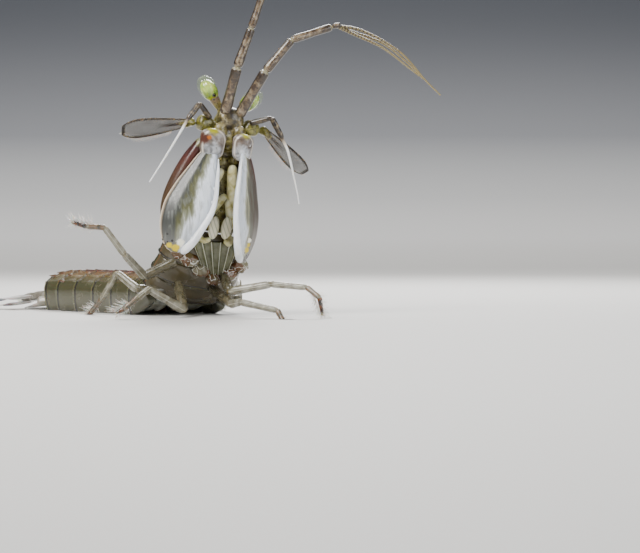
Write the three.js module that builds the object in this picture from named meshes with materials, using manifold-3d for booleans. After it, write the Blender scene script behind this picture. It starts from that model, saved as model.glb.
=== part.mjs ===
// A mantis shrimp of the squillid family, life size, 100 mm from rostral plate to telson.
// It rears like a cobra: head and thorax stand upright with their underside towards -Y, the abdomen lies
// level behind them, and the raptorial claws are folded against the chest.
// Millimetres, +Z up. The origin is on the floor under the middle of the second abdominal somite.
import * as THREE from "three";
import { mergeVertices } from "three/addons/utils/BufferGeometryUtils.js";
import Module from "manifold-3d";

const wasm = await Module();
wasm.setup();

// Driving sizes. s is the distance along the body's axis from the front of the carapace to the tail.
const gap = 0.3; // clearance between neighbouring pieces
const carapaceLength = 21;
const thoraxLengths = [2.6, 4, 4.2, 4.4]; // somites 5 to 8, behind the carapace
const abdomenLengths = [7.2, 7.5, 7.5, 7.5, 7.2, 6.4];
const telsonLength = 16;
const axisHeight = 4.6; // of the level abdomen's axis above the floor
const shellTop = 4.5; // from the axis to the middle of the back
const carapaceHalfWidth = { front: 4.6, rear: 9.6 };
const thoraxHalfWidths = [8.6, 9.5, 9.9, 10.1];
const abdomenHalfWidths = [10.2, 10.5, 10.6, 10.5, 10.2, 9.2];
const shieldThickness = 0.8;
const bellyRecess = 2.2; // from the pleura's lower edges up to the sternites

// Attitude of the body, in degrees: how it leans, faces and bends
const lean = 10; // of the chest, towards +X
const chestYaw = 18; // of the chest's underside from -Y, towards +X
const bendLength = 22; // the thorax turns from upright to level over this length of the axis
const bendHeading = 36; // the abdomen's heading where the bend ends, from +Y towards -X
const tailHeading = 50;
const tailPitch = 7; // the tail fan dips this much to the floor

const rad = THREE.MathUtils.degToRad;
const vec = (x, y, z) => new THREE.Vector3(x, y, z);

const colours = {
  shell: 0x8a8468,
  tergite: 0x7a6a4a,
  flesh: 0xc9c0a0,
  claw: 0xd9dbd6,
  merus: 0x8a5a40,
  limb: 0xd8cfb4,
  eye: 0x9fc03a,
  stalk: 0xc7a878,
  antennule: 0xa8896a,
  scale: 0x8d8d86,
  fan: 0x6d6f95,
};

function finish(colour, roughness = 0.45) {
  return new THREE.MeshStandardMaterial({ color: colour, roughness, metalness: 0 });
}

// Solids

function signedVolume(position, index) {
  const [a, b, c] = [vec(), vec(), vec()];
  let total = 0;
  for (let i = 0; i < index.length; i += 3) {
    a.fromBufferAttribute(position, index[i]);
    b.fromBufferAttribute(position, index[i + 1]);
    c.fromBufferAttribute(position, index[i + 2]);
    total += a.dot(b.cross(c)) / 6;
  }
  return total;
}

// Turns a closed geometry, bent by place, into a solid with its faces outwards
function solid(geometry, place = (point) => point) {
  const source = geometry.attributes.position;
  const moved = [];
  for (let i = 0; i < source.count; i++) {
    moved.push(...place(vec().fromBufferAttribute(source, i)).toArray());
  }
  const bare = new THREE.BufferGeometry();
  bare.setAttribute("position", new THREE.Float32BufferAttribute(moved, 3));
  bare.setIndex(geometry.index ? [...geometry.index.array] : null);
  const merged = mergeVertices(bare, 1e-4);
  const kept = [];
  const all = merged.index.array;
  for (let i = 0; i < all.length; i += 3) {
    const [a, b, c] = [all[i], all[i + 1], all[i + 2]];
    if (a !== b && b !== c && c !== a) kept.push(a, b, c);
  }
  if (signedVolume(merged.attributes.position, kept) < 0) kept.reverse();
  return new wasm.Manifold(
    new wasm.Mesh({
      numProp: 3,
      vertProperties: new Float32Array(merged.attributes.position.array),
      triVerts: new Uint32Array(kept),
    }),
  );
}

function largest(body) {
  return body.decompose().sort((a, b) => b.volume() - a.volume())[0];
}

function join(pieces) {
  return pieces.reduce((whole, piece) => whole.add(piece));
}

function cut(body, tools) {
  return largest(tools.reduce((rest, tool) => rest.subtract(tool), body));
}

const group = new THREE.Group();

function addNode(name, body, colour, roughness) {
  const mesh = largest(body).getMesh();
  const geometry = new THREE.BufferGeometry();
  geometry.setAttribute("position", new THREE.BufferAttribute(new Float32Array(mesh.vertProperties), 3));
  geometry.setIndex(new THREE.BufferAttribute(new Uint32Array(mesh.triVerts), 1));
  geometry.computeVertexNormals();
  const node = new THREE.Mesh(geometry, finish(colour, roughness));
  node.name = name;
  group.add(node);
}

// The body's axis: attitudes at a few stations, turned smoothly from one to the next, then walked in steps

function attitude(head, dorsal) {
  const z = head.clone().normalize();
  const x = dorsal.clone().cross(z).normalize();
  const y = z.clone().cross(x);
  return new THREE.Quaternion().setFromRotationMatrix(new THREE.Matrix4().makeBasis(x, y, z));
}

function level(heading, pitch) {
  const along = Math.cos(rad(pitch));
  const head = vec(Math.sin(rad(heading)) * along, -Math.cos(rad(heading)) * along, Math.sin(rad(pitch)));
  return attitude(head, vec(0, 0, 1));
}

const upright = attitude(
  vec(Math.sin(rad(lean)), 0, Math.cos(rad(lean))),
  vec(-Math.sin(rad(chestYaw)), Math.cos(rad(chestYaw)), 0),
);
const bendEnd = carapaceLength + bendLength;
const abdomenStart = carapaceLength + thoraxLengths.reduce((sum, length) => sum + length, 0);
const telsonStart = abdomenStart + abdomenLengths.reduce((sum, length) => sum + length, 0);
const bodyEnd = telsonStart + telsonLength + 2;
const fanStart = telsonStart - abdomenLengths[5];
const stations = [
  { s: 0, turn: upright },
  { s: carapaceLength, turn: upright },
  { s: bendEnd, turn: level(bendHeading, 0) },
  { s: fanStart, turn: level(tailHeading - 4, 0) },
  { s: telsonStart, turn: level(tailHeading, tailPitch) },
  { s: bodyEnd, turn: level(tailHeading, tailPitch) },
];

function turnAt(s) {
  const last = stations.length - 2;
  let i = 0;
  while (i < last && s > stations[i + 1].s) i++;
  const [from, to] = [stations[i], stations[i + 1]];
  const share = THREE.MathUtils.clamp((s - from.s) / (to.s - from.s), 0, 1);
  return from.turn.clone().slerp(to.turn, share);
}

const axisStep = 0.25;
const originStation = abdomenStart + abdomenLengths[0] + abdomenLengths[1] / 2;
const axisPoints = [vec(0, 0, 0)];
for (let s = 0; s < bodyEnd; s += axisStep) {
  const forward = vec(0, 0, 1).applyQuaternion(turnAt(s + axisStep / 2));
  axisPoints.push(axisPoints[axisPoints.length - 1].clone().addScaledVector(forward, -axisStep));
}

function rawAxis(s) {
  const place = THREE.MathUtils.clamp(s / axisStep, 0, axisPoints.length - 1.001);
  const i = Math.floor(place);
  return axisPoints[i].clone().lerp(axisPoints[i + 1], place - i);
}

const axisShift = rawAxis(originStation).negate().add(vec(0, 0, axisHeight));

// A point beside the axis: left is the animal's own left, back is towards its back
function bodyPoint(s, left, back) {
  const offset = vec(left, back, 0).applyQuaternion(turnAt(s));
  const ahead = vec(0, 0, Math.max(0, -s)).applyQuaternion(upright);
  return rawAxis(Math.max(0, s)).add(axisShift).add(offset).add(ahead);
}

// A point of the chest: left of the midline, up from the carapace's front edge, out towards its underside
function chest(left, up, out) {
  return bodyPoint(0, 0, 0).add(vec(left, -out, up).applyQuaternion(upright));
}

// Shapes

// A round or flattened tube along a curve. profile lists [share of the length, radius].
// thin is the direction in which the section is flattened.
function sweep(curve, profile, { sides = 8, flat = 1, thin = vec(0, 1, 0.01), grow = 0 } = {}) {
  const outline = profile.map(([t, r]) => new THREE.Vector2(r, t));
  outline.unshift(new THREE.Vector2(0, profile[0][0]));
  outline.push(new THREE.Vector2(0, profile[profile.length - 1][0]));
  const length = curve.getLength();
  return solid(new THREE.LatheGeometry(outline, sides), (point) => {
    const t = THREE.MathUtils.clamp(point.y, 0, 1);
    const tangent = curve.getTangentAt(t);
    const over = thin.clone().addScaledVector(tangent, -thin.dot(tangent)).normalize();
    const wide = tangent.clone().cross(over);
    const radius = Math.hypot(point.x, point.z);
    const more = radius > 0 ? grow / radius : 0;
    const ends = grow * (2 * t - 1) * (t < 0.01 || t > 0.99 ? 1 : 0) + (point.y - t) * length;
    return curve
      .getPointAt(t)
      .addScaledVector(tangent, ends)
      .addScaledVector(wide, point.x * (1 + more))
      .addScaledVector(over, point.z * (flat + more));
  });
}

function line(from, to) {
  return new THREE.LineCurve3(from, to);
}

function curve(points) {
  return new THREE.CatmullRomCurve3(points, false, "centripetal");
}

// A jointed limb: each segment is narrow at its joints and full between them
// From joint whipFrom on it is a plain whip, with one ring at each point
function limb(points, radii, options = {}, whipFrom = points.length) {
  const path = new THREE.CatmullRomCurve3(points, false, "catmullrom", 0.2);
  const reach = [0];
  for (let i = 1; i < points.length; i++) reach.push(reach[i - 1] + points[i].distanceTo(points[i - 1]));
  const shares = reach.map((length) => length / reach[reach.length - 1]);
  const profile = [];
  for (let i = 0; i < points.length - 1; i++) {
    if (i >= whipFrom) {
      profile.push([shares[i], radii[i]]);
      continue;
    }
    profile.push([shares[i], radii[i] * 0.76]);
    profile.push([THREE.MathUtils.lerp(shares[i], shares[i + 1], 0.15), radii[i] * 1.05]);
    profile.push([THREE.MathUtils.lerp(shares[i], shares[i + 1], 0.82), radii[i + 1] * 1.05]);
  }
  profile.push([1, radii[radii.length - 1] * 0.6]);
  return sweep(path, profile, options);
}

function whip(points, r0, r1, steps, sides = 5) {
  const profile = [];
  for (let i = 0; i <= steps; i++) {
    const share = i / steps;
    profile.push([share, THREE.MathUtils.lerp(r0, r1, share ** 0.8)]);
  }
  return sweep(curve(points), profile, { sides });
}

function ball(centre, size, turn = new THREE.Quaternion(), detail = [10, 6]) {
  return solid(new THREE.SphereGeometry(1, ...detail), (point) =>
    point.multiply(size).applyQuaternion(turn).add(centre),
  );
}

// A tapered spine, its root sunk in what carries it
function spine(from, to, radius, sides = 5) {
  return sweep(line(from, to), [[0, radius], [0.55, radius * 0.62], [1, 0.07]], { sides });
}

// A flat plate with the outline of shape, rounded edges and a spine's thickness
function plate(shape, thickness, place, round = thickness * 0.3) {
  const geometry = new THREE.ExtrudeGeometry(shape, {
    depth: thickness - 2 * round,
    bevelEnabled: true,
    bevelThickness: round,
    bevelSize: round,
    bevelOffset: -round,
    bevelSegments: 1,
    curveSegments: 7,
  });
  return solid(geometry, (point) => place(point.setZ(point.z - thickness / 2 + round)));
}

function unitPrism(section, steps) {
  return new THREE.ExtrudeGeometry(new THREE.Shape(section), { depth: 1, steps, bevelEnabled: false });
}

// A length of the body between two stations, with one section that size scales along it
function bodySlice(section, from, to, steps, size) {
  const geometry = unitPrism(section, steps);
  return solid(geometry, (point) => {
    const t = THREE.MathUtils.clamp(point.z, 0, 1);
    const { wide, high, slip = () => 0 } = size(t);
    const s = THREE.MathUtils.lerp(from, to, t) + slip(point.x);
    return bodyPoint(s, point.x * wide, point.y * high);
  });
}

// Height of a back with half-width 1 and height 1
function domeHeight(x, power) {
  return (1 - Math.min(1, Math.abs(x)) ** power) ** (1 / power);
}

// Keels that run along the back, as [share of the half-width, height in mm]
function keelHeight(x, keels) {
  const width = 0.045;
  return keels.reduce((most, [place, height]) => {
    return Math.max(most, height * Math.max(0, 1 - Math.abs(Math.abs(x) - place) / width));
  }, 0);
}

function backSamples(keels, plain) {
  const samples = new Set();
  for (let i = 0; i <= plain; i++) samples.add(Math.cos((Math.PI * i) / plain));
  for (const [place] of keels) {
    for (const step of [-0.045, 0, 0.045]) {
      samples.add(place + step);
      samples.add(-place - step);
    }
  }
  const sorted = [...samples].filter((x) => Math.abs(x) <= 1).sort((a, b) => b - a);
  return sorted.filter((x, i) => i === 0 || Math.abs(x) === 1 || sorted[i - 1] - x > 0.02);
}

// The animal's left edge comes first, over the back to the right edge
function backOutline(halfWidth, top, keels, plain, power = 2.3) {
  return backSamples(keels, plain).map((x) => {
    const height = top * domeHeight(x, power) + keelHeight(x, keels);
    return new THREE.Vector2(x * halfWidth, height);
  });
}

// Thorax and abdomen

const thoraxKeels = [[0.2, 0.3], [0.55, 0.3]];
const abdomenKeels = [[0.13, 0.28], [0.42, 0.34], [0.7, 0.34], [0.92, 0.3]];

function thoraxSection(halfWidth, grow) {
  const outline = backOutline(halfWidth + grow, shellTop + grow, thoraxKeels, 10);
  const under = 10;
  for (let i = 1; i < under; i++) {
    const x = -Math.cos((Math.PI * i) / under);
    outline.push(new THREE.Vector2(x * (halfWidth + grow) * 0.98, -(4.2 + grow) * domeHeight(x, 2.6)));
  }
  return outline;
}

function abdomenSection(halfWidth) {
  const outline = backOutline(halfWidth, shellTop, abdomenKeels, 8);
  const edge = halfWidth - 0.5;
  const flat = 1.3;
  const sternite = -axisHeight + bellyRecess;
  const half = [
    new THREE.Vector2(halfWidth * 0.995, -2.2),
    new THREE.Vector2(edge, -axisHeight),
    new THREE.Vector2(edge - flat, -axisHeight),
    new THREE.Vector2(edge - flat - 0.9, sternite),
  ];
  const right = half.map((point) => new THREE.Vector2(-point.x, point.y));
  return [...outline, ...right, ...half.reverse()];
}

// Each tergite is a little wider at its hind edge than where it slides under the one before
function flare(t) {
  const rise = 0.955 + 0.045 * THREE.MathUtils.smoothstep(t, 0, 0.8);
  return { wide: rise, high: rise };
}

function thoraxSomite(i, grow = 0) {
  const from = carapaceLength + thoraxLengths.slice(0, i).reduce((sum, length) => sum + length, 0);
  const to = from + thoraxLengths[i];
  const inner = (gap + 0.1) / 2 - grow;
  return bodySlice(thoraxSection(thoraxHalfWidths[i], grow), from + inner, to - inner, 3, flare);
}

// The pleated limb bases under the chest run in from the sides and back to the midline
function coxalRidges(i) {
  const from = carapaceLength + thoraxLengths.slice(0, i).reduce((sum, length) => sum + length, 0);
  const length = thoraxLengths[i];
  return [-1, 1].map((side) => {
    const points = [[0.25, 5, -3.5], [0.4, 3, -4.1], [0.8, 0.7, -4.2]];
    const places = points.map(([share, left, back]) => bodyPoint(from + share * length, side * left, back));
    return sweep(curve(places), [[0, 0.45], [0.4, 0.7], [1, 0.4]], { sides: 6 });
  });
}

function pleopod(s, side, length) {
  const root = bodyPoint(s + 1, side * 4.2, -1.9);
  const lobes = [[5.8, 0.98, 1.7], [3.4, 0.9, 1.3]];
  const pieces = lobes.map(([across, reach, half]) => {
    const tip = bodyPoint(s + length * reach, side * across, -axisHeight + 0.75);
    const profile = [[0, half * 0.5], [0.4, half], [0.85, half * 0.8], [1, half * 0.3]];
    return sweep(line(root, tip), profile, { sides: 6, flat: 0.3, thin: vec(0, 0.01, 1) });
  });
  return join(pieces);
}

// The keels of the last two somites end in spines over the next plate
function hindSpines(i, hindEdge) {
  const keels = { 4: [2, 3], 5: [0, 1, 2] }[i] ?? [];
  const pieces = [];
  for (const k of keels) {
    const x = abdomenKeels[k][0] * abdomenHalfWidths[i];
    const y = shellTop * domeHeight(abdomenKeels[k][0], 2.3);
    for (const side of [-1, 1]) {
      const root = bodyPoint(hindEdge - 1.6, side * x, y - 0.1);
      pieces.push(spine(root, bodyPoint(hindEdge + 1.1, side * x, y + 0.35), 0.5));
    }
  }
  return pieces;
}

function floorTool() {
  return solid(new THREE.BoxGeometry(400, 400, 40), (point) => point.add(vec(0, 0, -20)));
}

function abdomenSomite(i) {
  const from = abdomenStart + abdomenLengths.slice(0, i).reduce((sum, length) => sum + length, 0);
  const length = abdomenLengths[i];
  const section = abdomenSection(abdomenHalfWidths[i]);
  const bare = bodySlice(section, from + gap / 2, from + length - gap / 2, 3, (t) => {
    const { wide } = flare(t);
    return { wide, high: 1 };
  });
  const corners = [[2.6, -2], [2.2, -axisHeight], [-2.2, -axisHeight], [-2.6, -2]];
  const barSection = corners.map(([x, y]) => new THREE.Vector2(x, y));
  const plain = () => ({ wide: 1, high: 1 });
  const bar = bodySlice(barSection, from + length * 0.3, from + length * 0.75, 1, plain);
  const pieces = [bare, bar];
  if (i < 5) pieces.push(pleopod(from, 1, length), pleopod(from, -1, length));
  pieces.push(...hindSpines(i, from + length));
  return cut(join(pieces), [floorTool()]);
}

// Carapace and what it covers

const carapaceKeels = [[0.06, 0.24], [0.4, 0.32], [0.82, 0.26]];

function shieldSize(t) {
  const wide = THREE.MathUtils.lerp(carapaceHalfWidth.front, carapaceHalfWidth.rear, t ** 0.75);
  const high = THREE.MathUtils.lerp(3.7, shellTop, t ** 0.6);
  return { wide, high };
}

// The shield's section is drawn for half-width 1 and height 1, and its edges turn down a little
function shieldOutline() {
  const drop = 0.06;
  const outer = backSamples(carapaceKeels, 10).map((x) => {
    const height = (1 + drop) * domeHeight(x, 2.1) - drop + keelHeight(x, carapaceKeels) / shellTop;
    return new THREE.Vector2(x, height);
  });
  const inner = [];
  for (let i = 1; i < 12; i++) {
    const x = -Math.cos((Math.PI * i) / 12);
    const thin = shieldThickness / shellTop;
    inner.push(new THREE.Vector2(x * 0.95, (1 + drop - thin) * domeHeight(x, 2.1) - drop));
  }
  return [...outer, ...inner];
}

function carapace() {
  const corners = [-1, 1].map((side) => {
    return spine(chest(side * 4.6, -2.9, -0.4), chest(side * 5.1, 0.9, -1.3), 0.55);
  });
  const shield = bodySlice(shieldOutline(), 0.1, carapaceLength - gap, 6, (t) => {
    const { wide, high } = shieldSize(t);
    const frontCurve = (x) => (1 - t) * 1.6 * x * x;
    const rearCurve = (x) => t * 0.6 * (x * x - 1);
    return { wide, high, slip: (x) => frontCurve(x) + rearCurve(x) };
  });
  return join([shield, ...corners]);
}

const coreWidths = [[-5.2, 2.1], [-3, 3], [0, 3.5], [5, 4], [14, 4.7], [21, 5.2]];
const coreBacks = [[-5.2, 1.2], [-3, 1.7], [0, 1.9], [5, 2.4], [14, 2.9], [21, 2.9]];
const coreFronts = [[-5.2, 2.2], [-3, 3], [0, 3.3], [5, 3.4], [14, 3.5], [21, 3.6]];

function between(table, s) {
  let i = 0;
  while (i < table.length - 2 && s > table[i + 1][0]) i++;
  const [[s0, v0], [s1, v1]] = [table[i], table[i + 1]];
  return THREE.MathUtils.lerp(v0, v1, THREE.MathUtils.clamp((s - s0) / (s1 - s0), 0, 1));
}

// Head and first four thoracic somites, under the shield
function core(grow = 0) {
  const section = [];
  for (let i = 0; i < 16; i++) {
    const angle = (Math.PI * 2 * i) / 16;
    const round = (Math.abs(Math.cos(angle)) ** 2.7 + Math.abs(Math.sin(angle)) ** 2.7) ** (-1 / 2.7);
    section.push(new THREE.Vector2(Math.cos(angle) * round, Math.sin(angle) * round));
  }
  const front = coreWidths[0][0] - grow;
  const rear = carapaceLength - 0.1 + grow;
  return solid(unitPrism(section, 6), (point) => {
    const s = THREE.MathUtils.lerp(front, rear, THREE.MathUtils.clamp(point.z, 0, 1));
    const half = between(coreWidths, s) + grow;
    const deep = (point.y > 0 ? between(coreBacks, s) : between(coreFronts, s)) + grow;
    return bodyPoint(s, point.x * half, point.y * deep);
  });
}

const coreCleared = core(gap);
const thoraxCleared = thoraxLengths.map((length, i) => thoraxSomite(i, gap));

function headAndMouth() {
  const labrum = ball(chest(0, -2.6, 3.3), vec(1.5, 1.1, 2));
  const cheeks = [-1, 1].map((side) => ball(chest(side * 1.7, -5.4, 3.1), vec(1.2, 1.2, 2)));
  return join([core(), labrum, ...cheeks]);
}

function rostralPlate() {
  const shape = new THREE.Shape();
  shape.moveTo(-2, 0.2);
  shape.lineTo(2, 0.2);
  shape.lineTo(1.5, 2.6);
  shape.quadraticCurveTo(1.2, 4.1, 0, 4.3);
  shape.quadraticCurveTo(-1.2, 4.1, -1.5, 2.6);
  const tilt = (up) => 3.35 - up * 0.12;
  return plate(shape, 0.8, (point) => chest(point.x, point.y, -tilt(point.y) - point.z));
}

// Eyes and feelers, in chest measures: left, up, out

const eyes = { left: { centre: [4.4, 8.2, -0.4] }, right: { centre: [-5.4, 9, -0.4] } };

function eyeCornea(name, side, grow = 0) {
  const centre = chest(...eyes[name].centre);
  const spread = chest(side, 0.2, 0.25).sub(chest(0, 0, 0)).normalize();
  const turn = new THREE.Quaternion().setFromUnitVectors(vec(0, 1, 0), spread);
  return solid(new THREE.SphereGeometry(1, 12, 8), (point) => {
    const waist = 1 - 0.13 * Math.exp(-((point.y / 0.28) ** 2));
    const size = vec((1.78 + grow) * waist, 2.35 + grow, (1.78 + grow) * waist);
    return point.multiply(size).applyQuaternion(turn).add(centre);
  });
}

function eyeStalk(name, side) {
  const root = chest(side * 1.5, 4.6, -0.3);
  const centre = chest(...eyes[name].centre);
  const end = root.clone().lerp(centre, 0.9);
  const stalk = sweep(line(root, end), [[0, 0.8], [0.4, 1], [0.8, 1.35], [1, 1.4]], { sides: 10 });
  return cut(stalk, [coreCleared, eyeCornea(name, side, gap)]);
}

const antennules = {
  left: {
    joints: [[1.5, 4.2, 2.6], [4.9, 14.6, 5.4], [9.3, 22.1, 5.6], [17.5, 26.5, 5.8]],
    whips: [
      [[24.2, 27.2, 5], [34, 24.3, 5], [40.8, 19.5, 5], [44.8, 17, 5]],
      [[22.6, 26, 5.6], [29.3, 24.4, 6.2], [35.7, 21.4, 6.6], [38.6, 20, 6.8]],
      [[22.8, 26.6, 4], [30.5, 25.6, 3], [37.4, 22.4, 2.4], [41.2, 20, 2]],
    ],
  },
  right: {
    joints: [[-1.6, 4, 2.6], [-1.3, 14.2, 5.2], [0.2, 22.8, 5.4], [1.5, 31.3, 5.6]],
    whips: [
      [[4.2, 37.5, 5.4], [9.5, 45.5, 6], [17, 51.5, 6.6], [25, 54, 7]],
      [[3, 37.8, 6.2], [5.4, 46, 8], [9, 53.5, 10], [13, 58, 12]],
      [[1.2, 37.6, 4.4], [0.4, 45.4, 3.4], [-2, 52.6, 2.6], [-5, 57.5, 2]],
    ],
  },
};

function antennulePeduncle(name) {
  const joints = antennules[name].joints.map((place) => chest(...place));
  return cut(limb(joints, [1.15, 1, 0.85, 0.75], { sides: 8 }), [coreCleared]);
}

function antennuleWhips(name) {
  const { joints, whips } = antennules[name];
  const before = chest(...joints[2]);
  const end = chest(...joints[3]);
  const away = end.clone().sub(before).normalize();
  const root = end.clone().addScaledVector(away, gap);
  const hub = sweep(line(root, end.clone().addScaledVector(away, 1.8)), [[0, 0.55], [0.5, 0.75], [1, 0.5]]);
  const start = end.clone().addScaledVector(away, 0.9);
  const lashes = whips.map((places) => {
    return whip([start, ...places.map((place) => chest(...place))], 0.42, 0.2, 9);
  });
  return cut(join([hub, ...lashes]), []);
}

const antennae = {
  left: {
    base: [[3, 1.6, 0.8], [6.6, 2.9, 1.9]],
    scale: [[7.2, 2.7, 2], [18.5, -5, 2]],
    stem: [[4.2, 3.2, 3], [8.2, 5.1, 4.6], [11, 1.2, 5.6]],
    whip: [[12.5, -1, 5.8], [15.1, -6.6, 5.6], [17, -11.1, 5.4], [18.2, -15.4, 5.2]],
  },
  right: {
    base: [[-3, 1.4, 0.8], [-7.2, 1.4, 1.9]],
    scale: [[-7.8, 1.2, 2], [-22.7, -3.3, 2]],
    stem: [[-4.6, 2.6, 3], [-7.8, 5.2, 4.5], [-10, 1.4, 5.6]],
    whip: [[-11.2, -1.6, 6], [-13.3, -6.6, 6.6], [-15.6, -11.8, 7.2], [-17.8, -16.4, 7.8]],
  },
};

function antennaBase(name, grow = 0) {
  const [from, to] = antennae[name].base.map((place) => chest(...place));
  return sweep(line(from, to), [[0, 1.4], [0.5, 1.75], [0.85, 1.6], [1, 1]], { sides: 9, grow });
}

function antennaScale(name, grow = 0) {
  const [from, to] = antennae[name].scale.map((place) => chest(...place));
  const profile = [[0, 0.9], [0.12, 1.7], [0.35, 2.6], [0.65, 2.7], [0.88, 1.8], [1, 0.5]];
  const thin = vec(0, 0.42, 1);
  return sweep(line(from, to), profile, { sides: 12, flat: 0.15, thin, grow });
}

const stemRadii = [0.6, 0.55, 0.5, 0.32, 0.29, 0.26, 0.22];

function antennaStem(name) {
  const { stem, whip: lash } = antennae[name];
  const joints = [...stem, ...lash].map((place) => chest(...place));
  const body = limb(joints, stemRadii, { sides: 6 }, stem.length);
  return cut(body, [coreCleared, antennaBase(name, gap), antennaScale(name, gap)]);
}

// Raptorial claws: merus along the flank, wrist in front, blade folded back over the chest

const claws = {
  left: {
    wrist: [2.9, -0.6, 5.6],
    top: [2.6, -3.6, 7.3],
    tip: [6.8, -28.4, 9.4],
    inward: [-0.9, 0, 0.42],
    merus: [[3.9, -1.6, 4.3], [6.4, -7.5, 3.2], [8.2, -14.5, 2.9], [8.7, -20.6, 2.7]],
  },
  right: {
    wrist: [-4.2, -1, 5.6],
    top: [-4.3, -4, 7.3],
    tip: [-7.6, -26.6, 10],
    inward: [0.96, 0, 0.26],
    merus: [[-4.7, -1.8, 4.3], [-6.9, -7.5, 3.2], [-8.8, -14.5, 2.9], [-9.3, -20.6, 2.7]],
  },
};

// The claw blade's own frame: down runs from wrist to tip, inward across the blade to the midline
function bladeFrame(name) {
  const { top, tip, inward } = claws[name];
  const start = chest(...top);
  const down = chest(...tip).sub(start);
  const length = down.length();
  down.normalize();
  const across = chest(...inward).sub(chest(0, 0, 0));
  across.addScaledVector(down, -across.dot(down)).normalize();
  const face = across.clone().cross(down).normalize();
  if (face.dot(chest(0, 0, 1).sub(chest(0, 0, 0))) < 0) face.negate();
  const point = (inwards, along, forward) =>
    start.clone()
      .addScaledVector(across, inwards)
      .addScaledVector(down, along)
      .addScaledVector(face, forward);
  return { point, length, face, across };
}

function clawMerus(name, grow = 0) {
  const points = claws[name].merus.map((place) => chest(...place));
  const profile = [[0, 1.2], [0.08, 1.6], [0.3, 2.2], [0.6, 2.5], [0.85, 2.3], [1, 1.4]];
  const thin = chest(1, 0, 0.25).sub(chest(0, 0, 0));
  return sweep(curve(points), profile, { sides: 12, flat: 0.8, thin, grow });
}

function clawCarpus(name, grow = 0) {
  const { wrist, top } = claws[name];
  const low = chest(...top);
  const high = chest(...wrist);
  const reach = high.clone().lerp(low, 0.75);
  return sweep(line(high.clone().lerp(low, -0.25), reach), [[0, 0.9], [0.3, 1.7], [0.75, 1.6], [1, 1]], {
    sides: 10,
    grow,
  });
}

function clawBlade(name, grow = 0) {
  const { point, length, face } = bladeFrame(name);
  const bow = [[0, 0], [-1.3, 0.3], [-1.5, 0.6], [0, 1]];
  const axis = curve(bow.map(([inwards, share]) => point(inwards, share * length, 0)));
  const profile = [
    [0, 1.3], [0.05, 1.9], [0.16, 3], [0.34, 3.9], [0.52, 4.2], [0.7, 3.9], [0.85, 3], [0.95, 1.9], [1, 1],
  ];
  return sweep(axis, profile, { sides: 16, flat: 0.36, thin: face, grow });
}

// The finger folds along the blade's inner edge. Its six teeth, the tip among them, reach into pits there.
function clawFinger(name, grow = 0) {
  const { point, length } = bladeFrame(name);
  const bow = [
    [1.5, 1.01, 0.2], [3.4, 0.86, 0.5], [4, 0.7, 0.5], [4.2, 0.5, 0.5], [3.9, 0.3, 0.5], [2.5, 0.13, 0.4],
  ];
  const axis = curve(bow.map(([inwards, share, forward]) => point(inwards, share * length, forward)));
  const profile = [[0, 0.9], [0.06, 1.15], [0.3, 0.95], [0.6, 0.8], [0.88, 0.45], [1, 0.12]];
  const pieces = [sweep(axis, profile, { sides: 8, grow })];
  const bite = point(-1, -0.32, -0.12).sub(point(0, 0, 0)).normalize();
  for (let i = 0; i < 5; i++) {
    const root = axis.getPointAt(0.26 + 0.13 * i);
    const tip = root.clone().addScaledVector(bite, 2.1 + 0.28 * i + grow);
    pieces.push(sweep(line(root, tip), [[0, 0.5], [0.5, 0.36], [1, 0.08]], { sides: 5, grow }));
  }
  return join(pieces);
}

// Maxillipeds: small limbs between the claws

const handSize = vec(1, 0.75, 2.4);
const maxillipeds = {
  right: {
    1: { places: [[-2.9, -11, 2.6], [-3.5, -8, 4.4], [-2.5, -3.8, 5]], radius: 0.5 },
    3: { places: [[-3.4, -15, 2.8], [-2.6, -12.5, 4.4], [-0.9, -7.4, 4.9]], radius: 0.8 },
    4: { places: [[-3.2, -19.5, 2.8], [-2.2, -18, 4.5], [0.7, -14.2, 5]], radius: 0.75 },
    5: {
      places: [[-2.6, -20.4, 2.8], [-3, -22.2, 4.1], [-2, -23, 5.3], [-0.7, -22.4, 5.9]],
      radius: 0.55,
      hand: [-0.5, -20, 5.9],
    },
  },
  left: {
    1: { places: [[2.9, -11, 2.6], [3.7, -8, 4.4], [2.9, -3.8, 5]], radius: 0.5 },
    3: { places: [[3.6, -16.5, 2.8], [3.4, -14.5, 4.4], [1.1, -6.6, 4.9]], radius: 0.8 },
    4: { places: [[3.2, -19.8, 2.8], [3.6, -18.4, 4.4], [2.2, -16.2, 4.9]], radius: 0.7 },
    5: {
      places: [[2.8, -20.4, 2.8], [4, -21.9, 4.1], [3.5, -22.8, 5.2], [2.3, -22.2, 5.9]],
      radius: 0.55,
      hand: [2.2, -19.6, 5.9],
    },
  },
};

// The fifth pair end in swollen oval hands
function maxilliped(name, number) {
  const { places, radius, hand } = maxillipeds[name][number];
  const joints = places.map((place) => chest(...place));
  if (!hand) return limb(joints, [radius, radius, radius], { sides: 7 });
  return join([whip(joints, radius, radius, 6, 7), ball(chest(...hand), handSize, upright, [9, 7])]);
}

// Walking legs: the first two pairs reach forward, the third goes back to the floor

function backLeg(side) {
  const places = [
    [34.6, 6.5, -2.8], [35.4, 12.4, -2.4], [38.5, 15.2, 3], [44, 16.4, -1], [48, 17, -4], [49.4, 17.2, -4.8],
  ];
  return places.map(([s, left, back]) => bodyPoint(s, side * left, back));
}

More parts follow.
